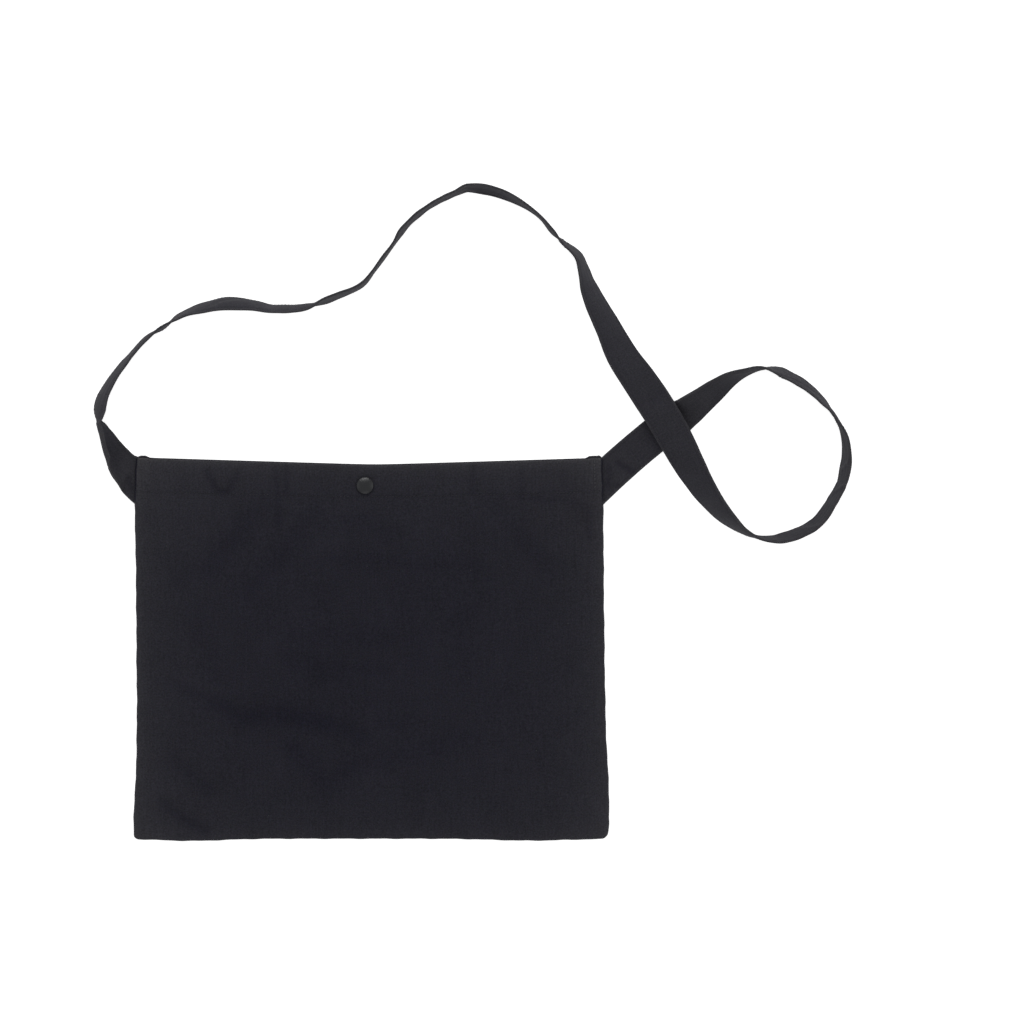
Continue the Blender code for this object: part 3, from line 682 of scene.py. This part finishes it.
def stitch_row(places, ahead, normal, length, radius):
    """Vertices and faces of stitches at the places, each laid along its own direction."""
    ahead = ahead / np.linalg.norm(ahead, axis=1, keepdims=True)
    aside = np.cross(normal, ahead)
    aside = aside / np.linalg.norm(aside, axis=1, keepdims=True)
    above = np.cross(ahead, aside)
    unit = unit_stitch(length, radius)
    rings, around, _ = unit.shape
    axes = np.stack([ahead, aside, above], axis=1)
    points = places[:, None, None, :] + np.einsum("rac,ncd->nrad", unit, axes)
    index = np.arange(rings * around).reshape(rings, around)
    quads = grid_quads(np.c_[index, index[:, :1]])
    caps = []
    for row in (index[0][::-1], index[-1]):
        caps += [[row[0], row[1], row[2], row[3]], [row[0], row[3], row[4], row[5]]]
    quads = np.vstack([quads, caps])
    offset = np.arange(len(places)) * rings * around
    faces = (quads[None, :, :] + offset[:, None, None]).reshape(-1, 4)
    return points.reshape(-1, 3), faces


def join_rows(rows):
    """Put several rows of stitches into one set of vertices and faces."""
    vertices = np.vstack([row[0] for row in rows])
    starts = np.cumsum([0] + [len(row[0]) for row in rows[:-1]])
    faces = np.vstack([row[1] + start for row, start in zip(rows, starts)])
    return vertices, faces


def on_front(across, up):
    """Points of the front cloth's outer face at places of the plain rectangle."""
    x, y = outline(across, up, 0, 0)
    outer, _ = front_faces(across, up, x, y)
    return np.stack([x, y, outer], axis=-1)


def front_stitches(across, up, slant, length, radius):
    """A row of stitches on the front cloth, turned a little out of its line by the slant."""
    across, up = np.atleast_1d(across).astype(float), np.atleast_1d(up).astype(float)
    here = on_front(across, up)
    step = 0.4
    beside = on_front(across + step * math.cos(slant), up + step * math.sin(slant)) - here
    above = on_front(across - step * math.sin(slant), up + step * math.cos(slant)) - here
    return stitch_row(here, beside, np.cross(beside, above), length, radius)


def bag_stitches(sizes, mat):
    """Hem stitches on both panels and the short topstitch beside the strap's right end."""
    pitch = sizes.stitch_pitch / MM
    length = sizes.stitch_length / MM
    radius = 0.5 * sizes.thread / MM
    reach = BAG_HALF_WIDTH - 1.5
    across = np.arange(-reach, reach, pitch)
    wander = 0.12 * np.sin(across / 5) + 0.1 * np.sin(across / 13)
    keep = np.hypot(across - SNAP_X, HEM_STITCH - SNAP_Y) > CAP_RADIUS + 0.8
    across, wander = across[keep], wander[keep]
    rows = [front_stitches(across, HEM_STITCH + wander, 0.22, length, radius)]
    x, y = outline(across, np.full_like(across, HEM_STITCH), BACK_RIM_SHOWS, 0)
    below = np.stack([x, y, 0.36 + 0 * x], axis=-1)
    ahead = np.tile([1, 0, 0], (len(x), 1))
    down = np.tile([0, 0, -1], (len(x), 1))
    rows.append(stitch_row(below, ahead, down, length, radius * 0.8))
    up = np.arange(TOPSTITCH_FROM, BAG_RIM - 1.2, pitch)
    rows.append(front_stitches(np.full_like(up, TOPSTITCH_X), up, math.radians(86), length,
                               TOPSTITCH_THICKER * radius))
    vertices, faces = join_rows(rows)
    rub = np.zeros(len(vertices))
    rub[-len(rows[-1][0]):] = TOPSTITCH_PALER
    return mesh_object("bag_stitches", vertices, faces, mat, rub=rub)


def strap_stitches(sizes, mat):
    """Stitches along both borders of the strap, on both of its faces."""
    pitch = sizes.stitch_pitch / MM
    length = sizes.stitch_length / MM * 0.9
    radius = 0.5 * sizes.thread / MM * 0.85
    stations, place, over, under = strap_surface(3000)
    rows = []
    count = int((stations[-1] - 40) / pitch)
    at = np.linspace(0, len(stations) - 1, count + 16).astype(int)[8:-8]
    for face, sign in ((over, 1), (under, -1)):
        for column in (7, len(place) - 8):
            here = face[at, column]
            ahead = face[np.minimum(at + 3, len(stations) - 1), column] - here
            beside = face[at, column + 1] - face[at, column - 1]
            normal = sign * np.cross(ahead, beside)
            sunk = 0.05 * normal / np.linalg.norm(normal, axis=1, keepdims=True)
            rows.append(stitch_row(here - sunk, ahead, normal, length, radius))
    vertices, faces = join_rows(rows)
    vertices[:, 2] = np.maximum(vertices[:, 2], 0)
    return mesh_object("strap_stitches", vertices, faces, mat)


def turned(name, profile, sides, mat):
    """Spin a half profile of radius and height about the snap's own upright axis.

    Points of radius 0 at the two ends become single poles.
    """
    profile = np.array(profile)
    swing = np.linspace(0, 2 * math.pi, sides + 1)[:-1]
    rim = profile[1:-1]
    x = SNAP_X + rim[:, :1] * np.cos(swing)
    y = SNAP_Y + rim[:, :1] * np.sin(swing)
    z = np.repeat(rim[:, 1:], sides, axis=1)
    rings = np.stack([x, y, z], axis=-1).reshape(-1, 3)
    poles = np.array([[SNAP_X, SNAP_Y, profile[0, 1]], [SNAP_X, SNAP_Y, profile[-1, 1]]])
    index = np.arange(len(rim) * sides).reshape(len(rim), sides)
    faces = [grid_quads(np.c_[index, index[:, :1]])]
    first, last = len(rings), len(rings) + 1
    for row, pole in ((index[0][::-1], first), (index[-1], last)):
        onward = np.roll(row, -1)
        tip = np.full_like(row, pole)
        faces.append(np.stack([row, onward, tip, tip], axis=-1))
    return mesh_object(name, np.vstack([rings, poles]), np.vstack(faces), mat)


def arc(across, up, radius, start, end, count):
    """Points of a circle's arc, in degrees, in the half plane of radius and height."""
    swing = np.radians(np.linspace(start, end, count))
    return list(zip(across + radius * np.cos(swing), up + radius * np.sin(swing)))


def snap_cap(mat):
    """The pressed cap: a straight wall, rounded below, and a low dome, with its post below.

    The dome is a part of a sphere. Its radius is that of the cap over the sine of its slope at
    the rim.
    """
    seat = FRONT_AT_SNAP + CAP_PRESSED_IN
    profile = [(0, POST_END), (POST_RADIUS - POST_CHAMFER, POST_END),
               (POST_RADIUS, POST_END + POST_CHAMFER), (POST_RADIUS, seat), (CAP_SEAT, seat)]
    profile += arc(CAP_RADIUS - CAP_ROUND, seat + CAP_ROUND, CAP_ROUND, -70, 0, 5)
    top = CAP_BASE + CAP_HEIGHT
    slope = math.radians(CAP_SLOPE)
    bend = (CAP_RADIUS - CAP_BEVEL) / math.sin(slope)
    profile.append((CAP_RADIUS, top - bend * (1 - math.cos(slope)) - 0.1))
    profile += arc(0, top - bend, bend, 90 - CAP_SLOPE, 88.5, 22)
    profile.append((0, top))
    return turned("snap_cap_lacquered", profile, 72, mat)


def snap_stud(mat):
    """The hidden half: a flange behind the back hem, a waist through it and a disc in front."""
    bore_floor = POST_END - GAP
    top = DISC_BASE + DISC_HEIGHT
    profile = [(0, FLANGE_UNDERSIDE), (FLANGE_RADIUS - 0.25, FLANGE_UNDERSIDE),
               (FLANGE_RADIUS, FLANGE_UNDERSIDE + 0.25), (FLANGE_RADIUS, FLANGE_HEIGHT - 0.15),
               (FLANGE_RADIUS - 0.15, FLANGE_HEIGHT), (POST_RADIUS, FLANGE_HEIGHT),
               (POST_RADIUS, DISC_BASE), (DISC_RADIUS - 0.3, DISC_BASE),
               (DISC_RADIUS, DISC_BASE + 0.3), (DISC_RADIUS, top - 0.3),
               (DISC_RADIUS - 0.3, top), (HOLE_RADIUS, top), (HOLE_RADIUS, bore_floor),
               (0, bore_floor)]
    obj = turned("snap_stud_plated", profile, 48, mat)
    obj.data.set_sharp_from_angle(angle=math.radians(35))
    return obj


# Materials
MATH = "ShaderNodeMath"
MIX = "ShaderNodeMix"
NOISE = "ShaderNodeTexNoise"
BUMP = "ShaderNodeBump"
WHITE = (1, 1, 1, 1)


def hex_colour(code):
    """Linear red, green and blue of an sRGB hex code."""
    parts = [int(code[i:i + 2], 16) / 255 for i in (0, 2, 4)]
    return tuple(p / 12.92 if p <= 0.04045 else ((p + 0.055) / 1.055) ** 2.4 for p in parts)


def connect(made, inputs):
    """Link or set a node's inputs, which come in order or by name.

    A node given as an input is linked from its first output in use, a socket from itself, and
    anything else is set as the value, with an alpha of 1 after a colour.
    """
    for name, value in inputs.items() if isinstance(inputs, dict) else enumerate(inputs):
        into = made.inputs[name] if isinstance(name, int) else next(
            socket for socket in made.inputs if socket.enabled and socket.name == name)
        if isinstance(value, Node):
            value = next(socket for socket in value.outputs if socket.enabled)
        if isinstance(value, NodeSocket):
            made.id_data.links.new(value, into)
        else:
            into.default_value = (*value, 1) if isinstance(value, Color) else value


def node(tree, kind, inputs=(), **settings):
    """Add a node with its settings and its inputs."""
    made = tree.nodes.new(kind)
    for name, value in settings.items():
        setattr(made, name, value)
    connect(made, inputs)
    return made


def principled(name, uv_map=""):
    """A new material, its node tree, its shader and the places that its patterns follow.

    The places are the object's own coordinates, or the UV map that is named.
    """
    mat = bpy.data.materials.new(name)
    mat.use_nodes = True
    tree = mat.node_tree
    if uv_map:
        where = node(tree, "ShaderNodeUVMap", uv_map=uv_map).outputs["UV"]
    else:
        where = node(tree, "ShaderNodeTexCoord").outputs["Object"]
    return mat, tree, tree.nodes["Principled BSDF"], where


def canvas(name, colours, sizes, uv_map=""):
    """Black cotton canvas in plain weave, piece-dyed and washed: matt, with short pale fuzz.

    Warp and weft lift over each other in turn, and slubs make single threads paler, which
    gives faint streaks along the warp. Where the mesh's attribute is high a grey is mixed in:
    some raised fuzz, but mostly painted light and shade, with edges and rims lit as if by
    glare, painted highlights on ridges and painted shade in folds and grooves. A few specks of
    lint cling to it. The real cloth has a thread every 0.8 mm, drawn every 1.1 mm so that it shows.
    The grain is 1.2 mm wide, the clouds in the dye 30 mm, and a slub 1.3 mm by 17 mm.
    """
    mat, tree, shader, where = principled(name, uv_map)
    apart = node(tree, "ShaderNodeSeparateXYZ", (where,))
    thread = math.pi / sizes.thread_pitch
    wobble = node(tree, NOISE, {"Vector": where, "Scale": 0.09 / MM, "Detail": 1})
    sway = node(tree, MATH, (wobble, 2.6, -1.3), operation="MULTIPLY_ADD")
    waves = []
    for axis, count in (("X", thread), ("Y", thread * 0.94)):
        travel = node(tree, MATH, (apart.outputs[axis], count, sway), operation="MULTIPLY_ADD")
        waves.append(node(tree, MATH, (travel,), operation="SINE"))
    over = node(tree, MATH, waves, operation="MULTIPLY")
    raised = []
    for wave, lift in zip(waves, (0.5, -0.4)):
        up = node(tree, MATH, (over, lift, abs(lift)), operation="MULTIPLY_ADD")
        ridge = node(tree, MATH, (wave,), operation="ABSOLUTE")
        raised.append(node(tree, MATH, (ridge, up), operation="MULTIPLY"))
    weave = node(tree, MATH, raised, operation="MAXIMUM")
    tone = node(tree, MATH, (weave, 0.13, -0.61), operation="MULTIPLY_ADD")
    grain = node(tree, NOISE, {"Vector": where, "Scale": 0.85 / MM, "Detail": 2.5})
    cloud = node(tree, NOISE, {"Vector": where, "Scale": 0.034 / MM, "Detail": 3,
                               "Roughness": 0.6})
    parts = [(grain, 1.3), (cloud, 0.35)]
    across, along = 0.78 / MM, 0.06 / MM
    for stretch, share in (((across, along, along), 0.34), ((along, across, along), 0.16)):
        pulled = node(tree, "ShaderNodeMapping", {"Vector": where, "Scale": stretch})
        parts.append((node(tree, NOISE, {"Vector": pulled, "Scale": 1, "Detail": 2}), share))
    for part, share in parts:
        tone = node(tree, MATH, (part, share, tone), operation="MULTIPLY_ADD")
    dyed = node(tree, MIX, {"Factor": tone, "A": colours.canvas_deep,
                            "B": colours.canvas_light}, data_type="RGBA")
    tint = node(tree, NOISE, {"Vector": where, "Scale": 0.9 / MM}).outputs["Color"]
    dyed = node(tree, MIX, {"Factor": 0.4, "A": dyed, "B": tint}, data_type="RGBA",
                blend_type="OVERLAY")
    # The mesh attribute mixes in the grey: a little raised fuzz, the rest painted light and shade
    rub = node(tree, "ShaderNodeAttribute", attribute_name="rub").outputs["Fac"]
    patchy = node(tree, MATH, (tone, 0.9, 0.55), operation="MULTIPLY_ADD")
    fuzz_and_light = node(tree, MATH, (rub, patchy), operation="MULTIPLY", use_clamp=True)
    with_fuzz_and_light = node(tree, MIX, {"Factor": fuzz_and_light, "A": dyed, "B": colours.fuzz_and_light}, data_type="RGBA")
    specks = node(tree, "ShaderNodeTexVoronoi", {"Vector": where, "Scale": 0.04 / MM},
                  voronoi_dimensions="2D")
    near = node(tree, MATH, (specks.outputs["Distance"], 0.009), operation="LESS_THAN")
    lot = node(tree, "ShaderNodeSeparateColor", (specks.outputs["Color"],))
    chosen = node(tree, MATH, (lot, 0.88), operation="GREATER_THAN")
    speck = node(tree, MATH, (near, chosen), operation="MULTIPLY")
    lint = node(tree, MATH, (speck, 0.3), operation="MULTIPLY")
    colour = node(tree, MIX, {"Factor": lint, "A": with_fuzz_and_light, "B": colours.lint}, data_type="RGBA")
    height = node(tree, MATH, (grain, 0.6, weave), operation="MULTIPLY_ADD")
    bump = node(tree, BUMP, {"Height": height, "Strength": 0.4, "Distance": sizes.weave_depth})
    connect(shader, {"Base Color": colour, "Normal": bump, "Roughness": 0.95,
                     "Specular IOR Level": colours.gloss, "Sheen Weight": colours.sheen,
                     "Sheen Roughness": 0.45, "Sheen Tint": colours.sheen_tint})
    return mat


def cotton_thread(name, colours):
    """Spun polyester-cotton sewing thread, dyed black: two plies twisted, a little glossier."""
    mat, tree, shader, where = principled(name)
    fuzz_and_light = node(tree, NOISE, {"Vector": where, "Scale": 2.6 / MM, "Detail": 2})
    rub = node(tree, "ShaderNodeAttribute", attribute_name="rub").outputs["Fac"]
    pale = node(tree, MATH, (fuzz_and_light, 0.5, rub), operation="MULTIPLY_ADD", use_clamp=True)
    colour = node(tree, MIX, {"Factor": pale, "A": colours.thread_deep,
                              "B": colours.thread_light}, data_type="RGBA")
    bump = node(tree, BUMP, {"Height": fuzz_and_light, "Strength": 0.4, "Distance": 0.1 * MM})
    connect(shader, {"Base Color": colour, "Normal": bump, "Roughness": 0.7,
                     "Specular IOR Level": 0.3, "Sheen Weight": 0.1, "Sheen Roughness": 0.4})
    return mat


def black_lacquer(name, colours):
    """Stoved semi-gloss black lacquer on pressed brass: soft reflections, faint orange peel."""
    mat, tree, shader, where = principled(name)
    peel = node(tree, NOISE, {"Vector": where, "Scale": 1.4 / MM, "Detail": 2})
    scuff = node(tree, NOISE, {"Vector": where, "Scale": 0.7 / MM, "Detail": 4})
    rough = node(tree, "ShaderNodeMapRange", {"Value": scuff, "From Min": 0.35, "From Max": 0.7,
                                              "To Min": 0.28, "To Max": 0.36})
    colour = node(tree, MIX, {"Factor": scuff, "A": colours.lacquer_deep,
                              "B": colours.lacquer_light}, data_type="RGBA")
    bump = node(tree, BUMP, {"Height": peel, "Strength": 0.12, "Distance": 0.05 * MM})
    connect(shader, {"Base Color": colour, "Normal": bump, "Roughness": rough, "IOR": 1.52,
                     "Specular IOR Level": 0.55})
    return mat


def nickel_plate(name, colours):
    """Dark nickel plating on pressed steel, with the fine marks of its forming."""
    mat, tree, shader, where = principled(name)
    marks = node(tree, NOISE, {"Vector": where, "Scale": 1.5 / MM, "Detail": 3})
    rough = node(tree, "ShaderNodeMapRange", {"Value": marks, "To Min": 0.25, "To Max": 0.45})
    colour = node(tree, MIX, {"Factor": marks, "A": colours.nickel_deep,
                              "B": colours.nickel_light}, data_type="RGBA")
    connect(shader, {"Base Color": colour, "Roughness": rough, "Metallic": 1})
    return mat


def floor_acrylic(name, colours, glow):
    """White acrylic sheet of a shooting table, lit a little from below, so that it stays white."""
    mat, tree, shader, where = principled(name)
    cloud = node(tree, NOISE, {"Vector": where, "Scale": 2, "Detail": 1})
    colour = node(tree, MIX, {"Factor": cloud, "A": colours.floor, "B": WHITE},
                  data_type="RGBA")
    connect(shader, {"Base Color": colour, "Roughness": 0.8, "Specular IOR Level": 0.2,
                     "Emission Color": WHITE, "Emission Strength": glow})
    return mat


# Settings
def colour_property(name, description, code):
    """A colour setting whose default is an sRGB hex code."""
    return FloatVectorProperty(name=name, description=description, subtype="COLOR", size=3,
                               min=0, max=1, default=hex_colour(code))


def number(name, description, default, **kind):
    """A setting that is one number."""
    return FloatProperty(name=name, description=description, default=default, **kind)


def length(name, description, millimetres):
    """A length setting whose default is in millimetres."""
    return number(name, description, millimetres * MM, unit="LENGTH")


class MusetteSizes(PropertyGroup):
    """Sizes of the cloth, the sewing and the meshes."""

    thread_pitch: length("Thread pitch", "Distance between threads", 1.1)
    weave_depth: length("Weave depth", "Height of a thread over the next", 0.22)
    stitch_pitch: length("Stitch pitch", "From stitch to stitch", 2.6)
    stitch_length: length("Stitch length", "Length of thread that shows", 2.1)
    thread: length("Thread", "Thickness of the sewing thread", 0.42)
    front_spacing: length("Front grid", "Grid spacing of the front", 1.6)
    back_spacing: length("Back grid", "Grid spacing of the back", 3)


class MusetteColours(PropertyGroup):
    """Colours of the cloth, thread, lacquer and metal."""

    canvas_deep: colour_property("Canvas, deep", "Dye between the threads", "111119")
    canvas_light: colour_property("Canvas, light", "Dye on the threads' crowns", "252431")
    # Grey mixed in for raised fuzz and for painted light
    fuzz_and_light: colour_property("Raised fuzz", "Grey cotton fuzz that rubbing has raised", "7c7b7a")
    lint: colour_property("Lint", "Pale specks on the cloth", "8a8a86")
    sheen_tint: colour_property("Sheen tint", "Colour of the cloth at grazing angles", "fffdf8")
    thread_deep: colour_property("Thread, deep", "Thread in its own shade", "1b1a21")
    thread_light: colour_property("Thread, light", "Thread where it catches light", "504f54")
    lacquer_deep: colour_property("Lacquer, deep", "Lacquer of the cap", "0a0c11")
    lacquer_light: colour_property("Lacquer, light", "Scuffed lacquer", "15171d")
    nickel_deep: colour_property("Nickel, deep", "Plating in its marks", "4a4a4c")
    nickel_light: colour_property("Nickel, light", "Plating on its flats", "77767a")
    floor: colour_property("Floor", "White sheet under the bag", "f2f2f2")
    sheen: number("Sheen", "How much the cloth's nap catches light", 0.03, min=0, max=1,
                  subtype="FACTOR")
    gloss: number("Gloss", "Specular level of the cloth's fibres", 0.11, min=0, max=1,
                  subtype="FACTOR")


class MusetteStudio(PropertyGroup):
    """Camera, lamps and floor."""

    lens: number("Lens", "Focal length in millimetres", 1000, unit="CAMERA")
    view_width: length("View width", "Width that the picture covers", 763)
    view_x: length("View middle x", "Middle of the picture", 105.57)
    view_y: length("View middle y", "Middle of the picture", 102.29)
    key_power: number("Key power", "Large lamp beyond the mouth", 16, unit="POWER")
    left_power: number("Left power", "Lamp on the left", 1.4, unit="POWER")
    right_power: number("Right power", "Lamp on the right", 3, unit="POWER")
    front_power: number("Front power", "Lamp beyond the bottom seam", 2, unit="POWER")
    sky: number("Room light", "Brightness of the pale room", 0.5, min=0)
    glow: number("Floor glow", "Light through the floor sheet", 0.76, min=0)
    floor_size: length("Floor size", "Side of the floor", 60000)


# Lamps round the bag, in metres
LAMPS = [
    # side, width and depth, place
    ("key", (2.4, 0.5), (-0.2, 2.05, 1.8)),
    ("left", (1.6, 1), (-2, 0.1, 1.8)),
    ("right", (1.6, 1), (2.2, 0.1, 1.8)),
    ("front", (1.6, 1), (0.1, -2, 1.8)),
]


# Operators
def dress(piece, slot, *nodes):
    """Let a piece ride with the bag and hide the nodes that it stands for; the slot is not used."""
    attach(piece, "root")
    if nodes:
        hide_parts(*nodes)


class MUSETTE_OT_front(Operator):
    """Lay the front cloth over the hollow bag"""

    bl_idname = "musette.front"
    bl_label = "Front Panel"

    def execute(self, context):
        sizes, colours = context.scene.musette_sizes, context.scene.musette_colours
        mat = canvas("black_cotton_canvas_front", colours, sizes)
        piece = cloth_panel("front_cloth", sizes.front_spacing / MM, front_faces, 0, 0.25, 1,
                            mat)
        punch_snap_hole(piece)
        dress(piece, "front_canvas", "front_panel")
        return {"FINISHED"}


class MUSETTE_OT_back(Operator):
    """Lay the back cloth on the floor"""

    bl_idname = "musette.back"
    bl_label = "Back Panel"

    def execute(self, context):
        sizes, colours = context.scene.musette_sizes, context.scene.musette_colours
        mat = canvas("black_cotton_canvas_back", colours, sizes)
        # The back takes a smaller share, so that its rim lies in painted shade under the front's rim
        piece = cloth_panel("back_cloth", sizes.back_spacing / MM, back_faces, BACK_RIM_SHOWS,
                            1, BACK_SHARE_IN_SHADE, mat)
        punch_snap_hole(piece)
        dress(piece, "back_canvas", "back_panel")
        return {"FINISHED"}


class MUSETTE_OT_strap(Operator):
    """Run the folded strap along its route"""

    bl_idname = "musette.strap"
    bl_label = "Strap"

    def execute(self, context):
        sizes, colours = context.scene.musette_sizes, context.scene.musette_colours
        mat = canvas("black_cotton_canvas_strap", colours, sizes, "cloth")
        piece = strap_cloth(mat)
        dress(piece, "strap_canvas", "strap")
        return {"FINISHED"}


class MUSETTE_OT_stitches(Operator):
    """Sew the hems, the short topstitch beside the strap's right end and the strap's borders"""

    bl_idname = "musette.stitches"
    bl_label = "Stitches"

    def execute(self, context):
        sizes, colours = context.scene.musette_sizes, context.scene.musette_colours
        mat = cotton_thread("spun_sewing_thread", colours)
        dress(bag_stitches(sizes, mat), "front_canvas")
        dress(strap_stitches(sizes, mat), "strap_canvas")
        return {"FINISHED"}


class MUSETTE_OT_snap(Operator):
    """Press the two halves of the snap into the hems"""

    bl_idname = "musette.snap"
    bl_label = "Press Snap"

    def execute(self, context):
        colours = context.scene.musette_colours
        dress(snap_cap(black_lacquer("black_stoved_lacquer", colours)), "snap_cap_paint", "snap_cap")
        dress(snap_stud(nickel_plate("dark_nickel_plate", colours)), "snap_stud_metal", "snap_stud")
        return {"FINISHED"}


def lamp(name, power, size, place):
    """A soft rectangular lamp that shines on the bag and isn't seen itself."""
    data = bpy.data.lights.new(name, "AREA")
    data.shape = "RECTANGLE"
    data.energy = power
    data.size, data.size_y = size
    obj = bpy.data.objects.new(name, data)
    obj.location = place
    aim = -obj.location
    obj.rotation_euler = aim.to_track_quat("-Z", "Y").to_euler()
    obj.visible_camera = False
    bpy.context.scene.collection.objects.link(obj)


class MUSETTE_OT_studio(Operator):
    """Set the white floor, the lamps, the pale room and the camera straight above"""

    bl_idname = "musette.studio"
    bl_label = "Studio"

    def execute(self, context):
        scene = context.scene
        studio, colours = scene.musette_studio, scene.musette_colours
        half = 0.5 * studio.floor_size
        corners = [(-half, -half), (half, -half), (half, half), (-half, half)]
        mesh = bpy.data.meshes.new("floor")
        mesh.from_pydata([(x, y, -0.1 * MM) for x, y in corners], [], [(0, 1, 2, 3)])
        mesh.materials.append(floor_acrylic("white_acrylic_sheet", colours, studio.glow))
        floor = bpy.data.objects.new("floor", mesh)
        scene.collection.objects.link(floor)
        for side, size, place in LAMPS:
            lamp(side + "_lamp", getattr(studio, side + "_power"), size, place)
        world = bpy.data.worlds.new("pale_room")
        world.use_nodes = True
        connect(world.node_tree.nodes["Background"], {"Color": WHITE, "Strength": studio.sky})
        scene.world = world
        scene.view_settings.view_transform = "Standard"
        camera = bpy.data.cameras.new("camera")
        camera.lens = studio.lens
        camera.sensor_width = 36
        camera.clip_end = 100
        away = studio.view_width * camera.lens / camera.sensor_width
        eye = bpy.data.objects.new("camera", camera)
        eye.location = (studio.view_x, studio.view_y, away)
        scene.collection.objects.link(eye)
        scene.camera = eye
        return {"FINISHED"}


class MUSETTE_PT_panel(Panel):
    """Sidebar panel with the sizes, the colours and a button for each piece"""

    bl_idname = "MUSETTE_PT_panel"
    bl_label = "Musette Bag"
    bl_space_type = "VIEW_3D"
    bl_region_type = "UI"
    bl_category = "Musette"

    def draw(self, context):
        scene, layout = context.scene, self.layout
        for group in (scene.musette_sizes, scene.musette_colours, scene.musette_studio):
            box = layout.box()
            for name in group.__annotations__:
                box.prop(group, name)
        for operator in OPERATORS:
            layout.operator(operator.bl_idname)


GROUPS = (("musette_sizes", MusetteSizes), ("musette_colours", MusetteColours),
          ("musette_studio", MusetteStudio))
OPERATORS = (MUSETTE_OT_back, MUSETTE_OT_front, MUSETTE_OT_strap, MUSETTE_OT_stitches,
             MUSETTE_OT_snap, MUSETTE_OT_studio)


def register():
    """Register every class and hang the settings on the scene."""
    for name, group in GROUPS:
        bpy.utils.register_class(group)
        setattr(Scene, name, PointerProperty(type=group))
    for cls in (*OPERATORS, MUSETTE_PT_panel):
        bpy.utils.register_class(cls)


def unregister():
    """Take the settings off the scene and unregister every class."""
    for cls in reversed((*OPERATORS, MUSETTE_PT_panel)):
        bpy.utils.unregister_class(cls)
    for name, group in reversed(GROUPS):
        delattr(Scene, name)
        bpy.utils.unregister_class(group)


def main():
    """Make the whole bag and its studio."""
    register()
    bpy.ops.musette.back()
    bpy.ops.musette.front()
    bpy.ops.musette.strap()
    bpy.ops.musette.stitches()
    bpy.ops.musette.snap()
    bpy.ops.musette.studio()


if __name__ == "__main__":
    main()
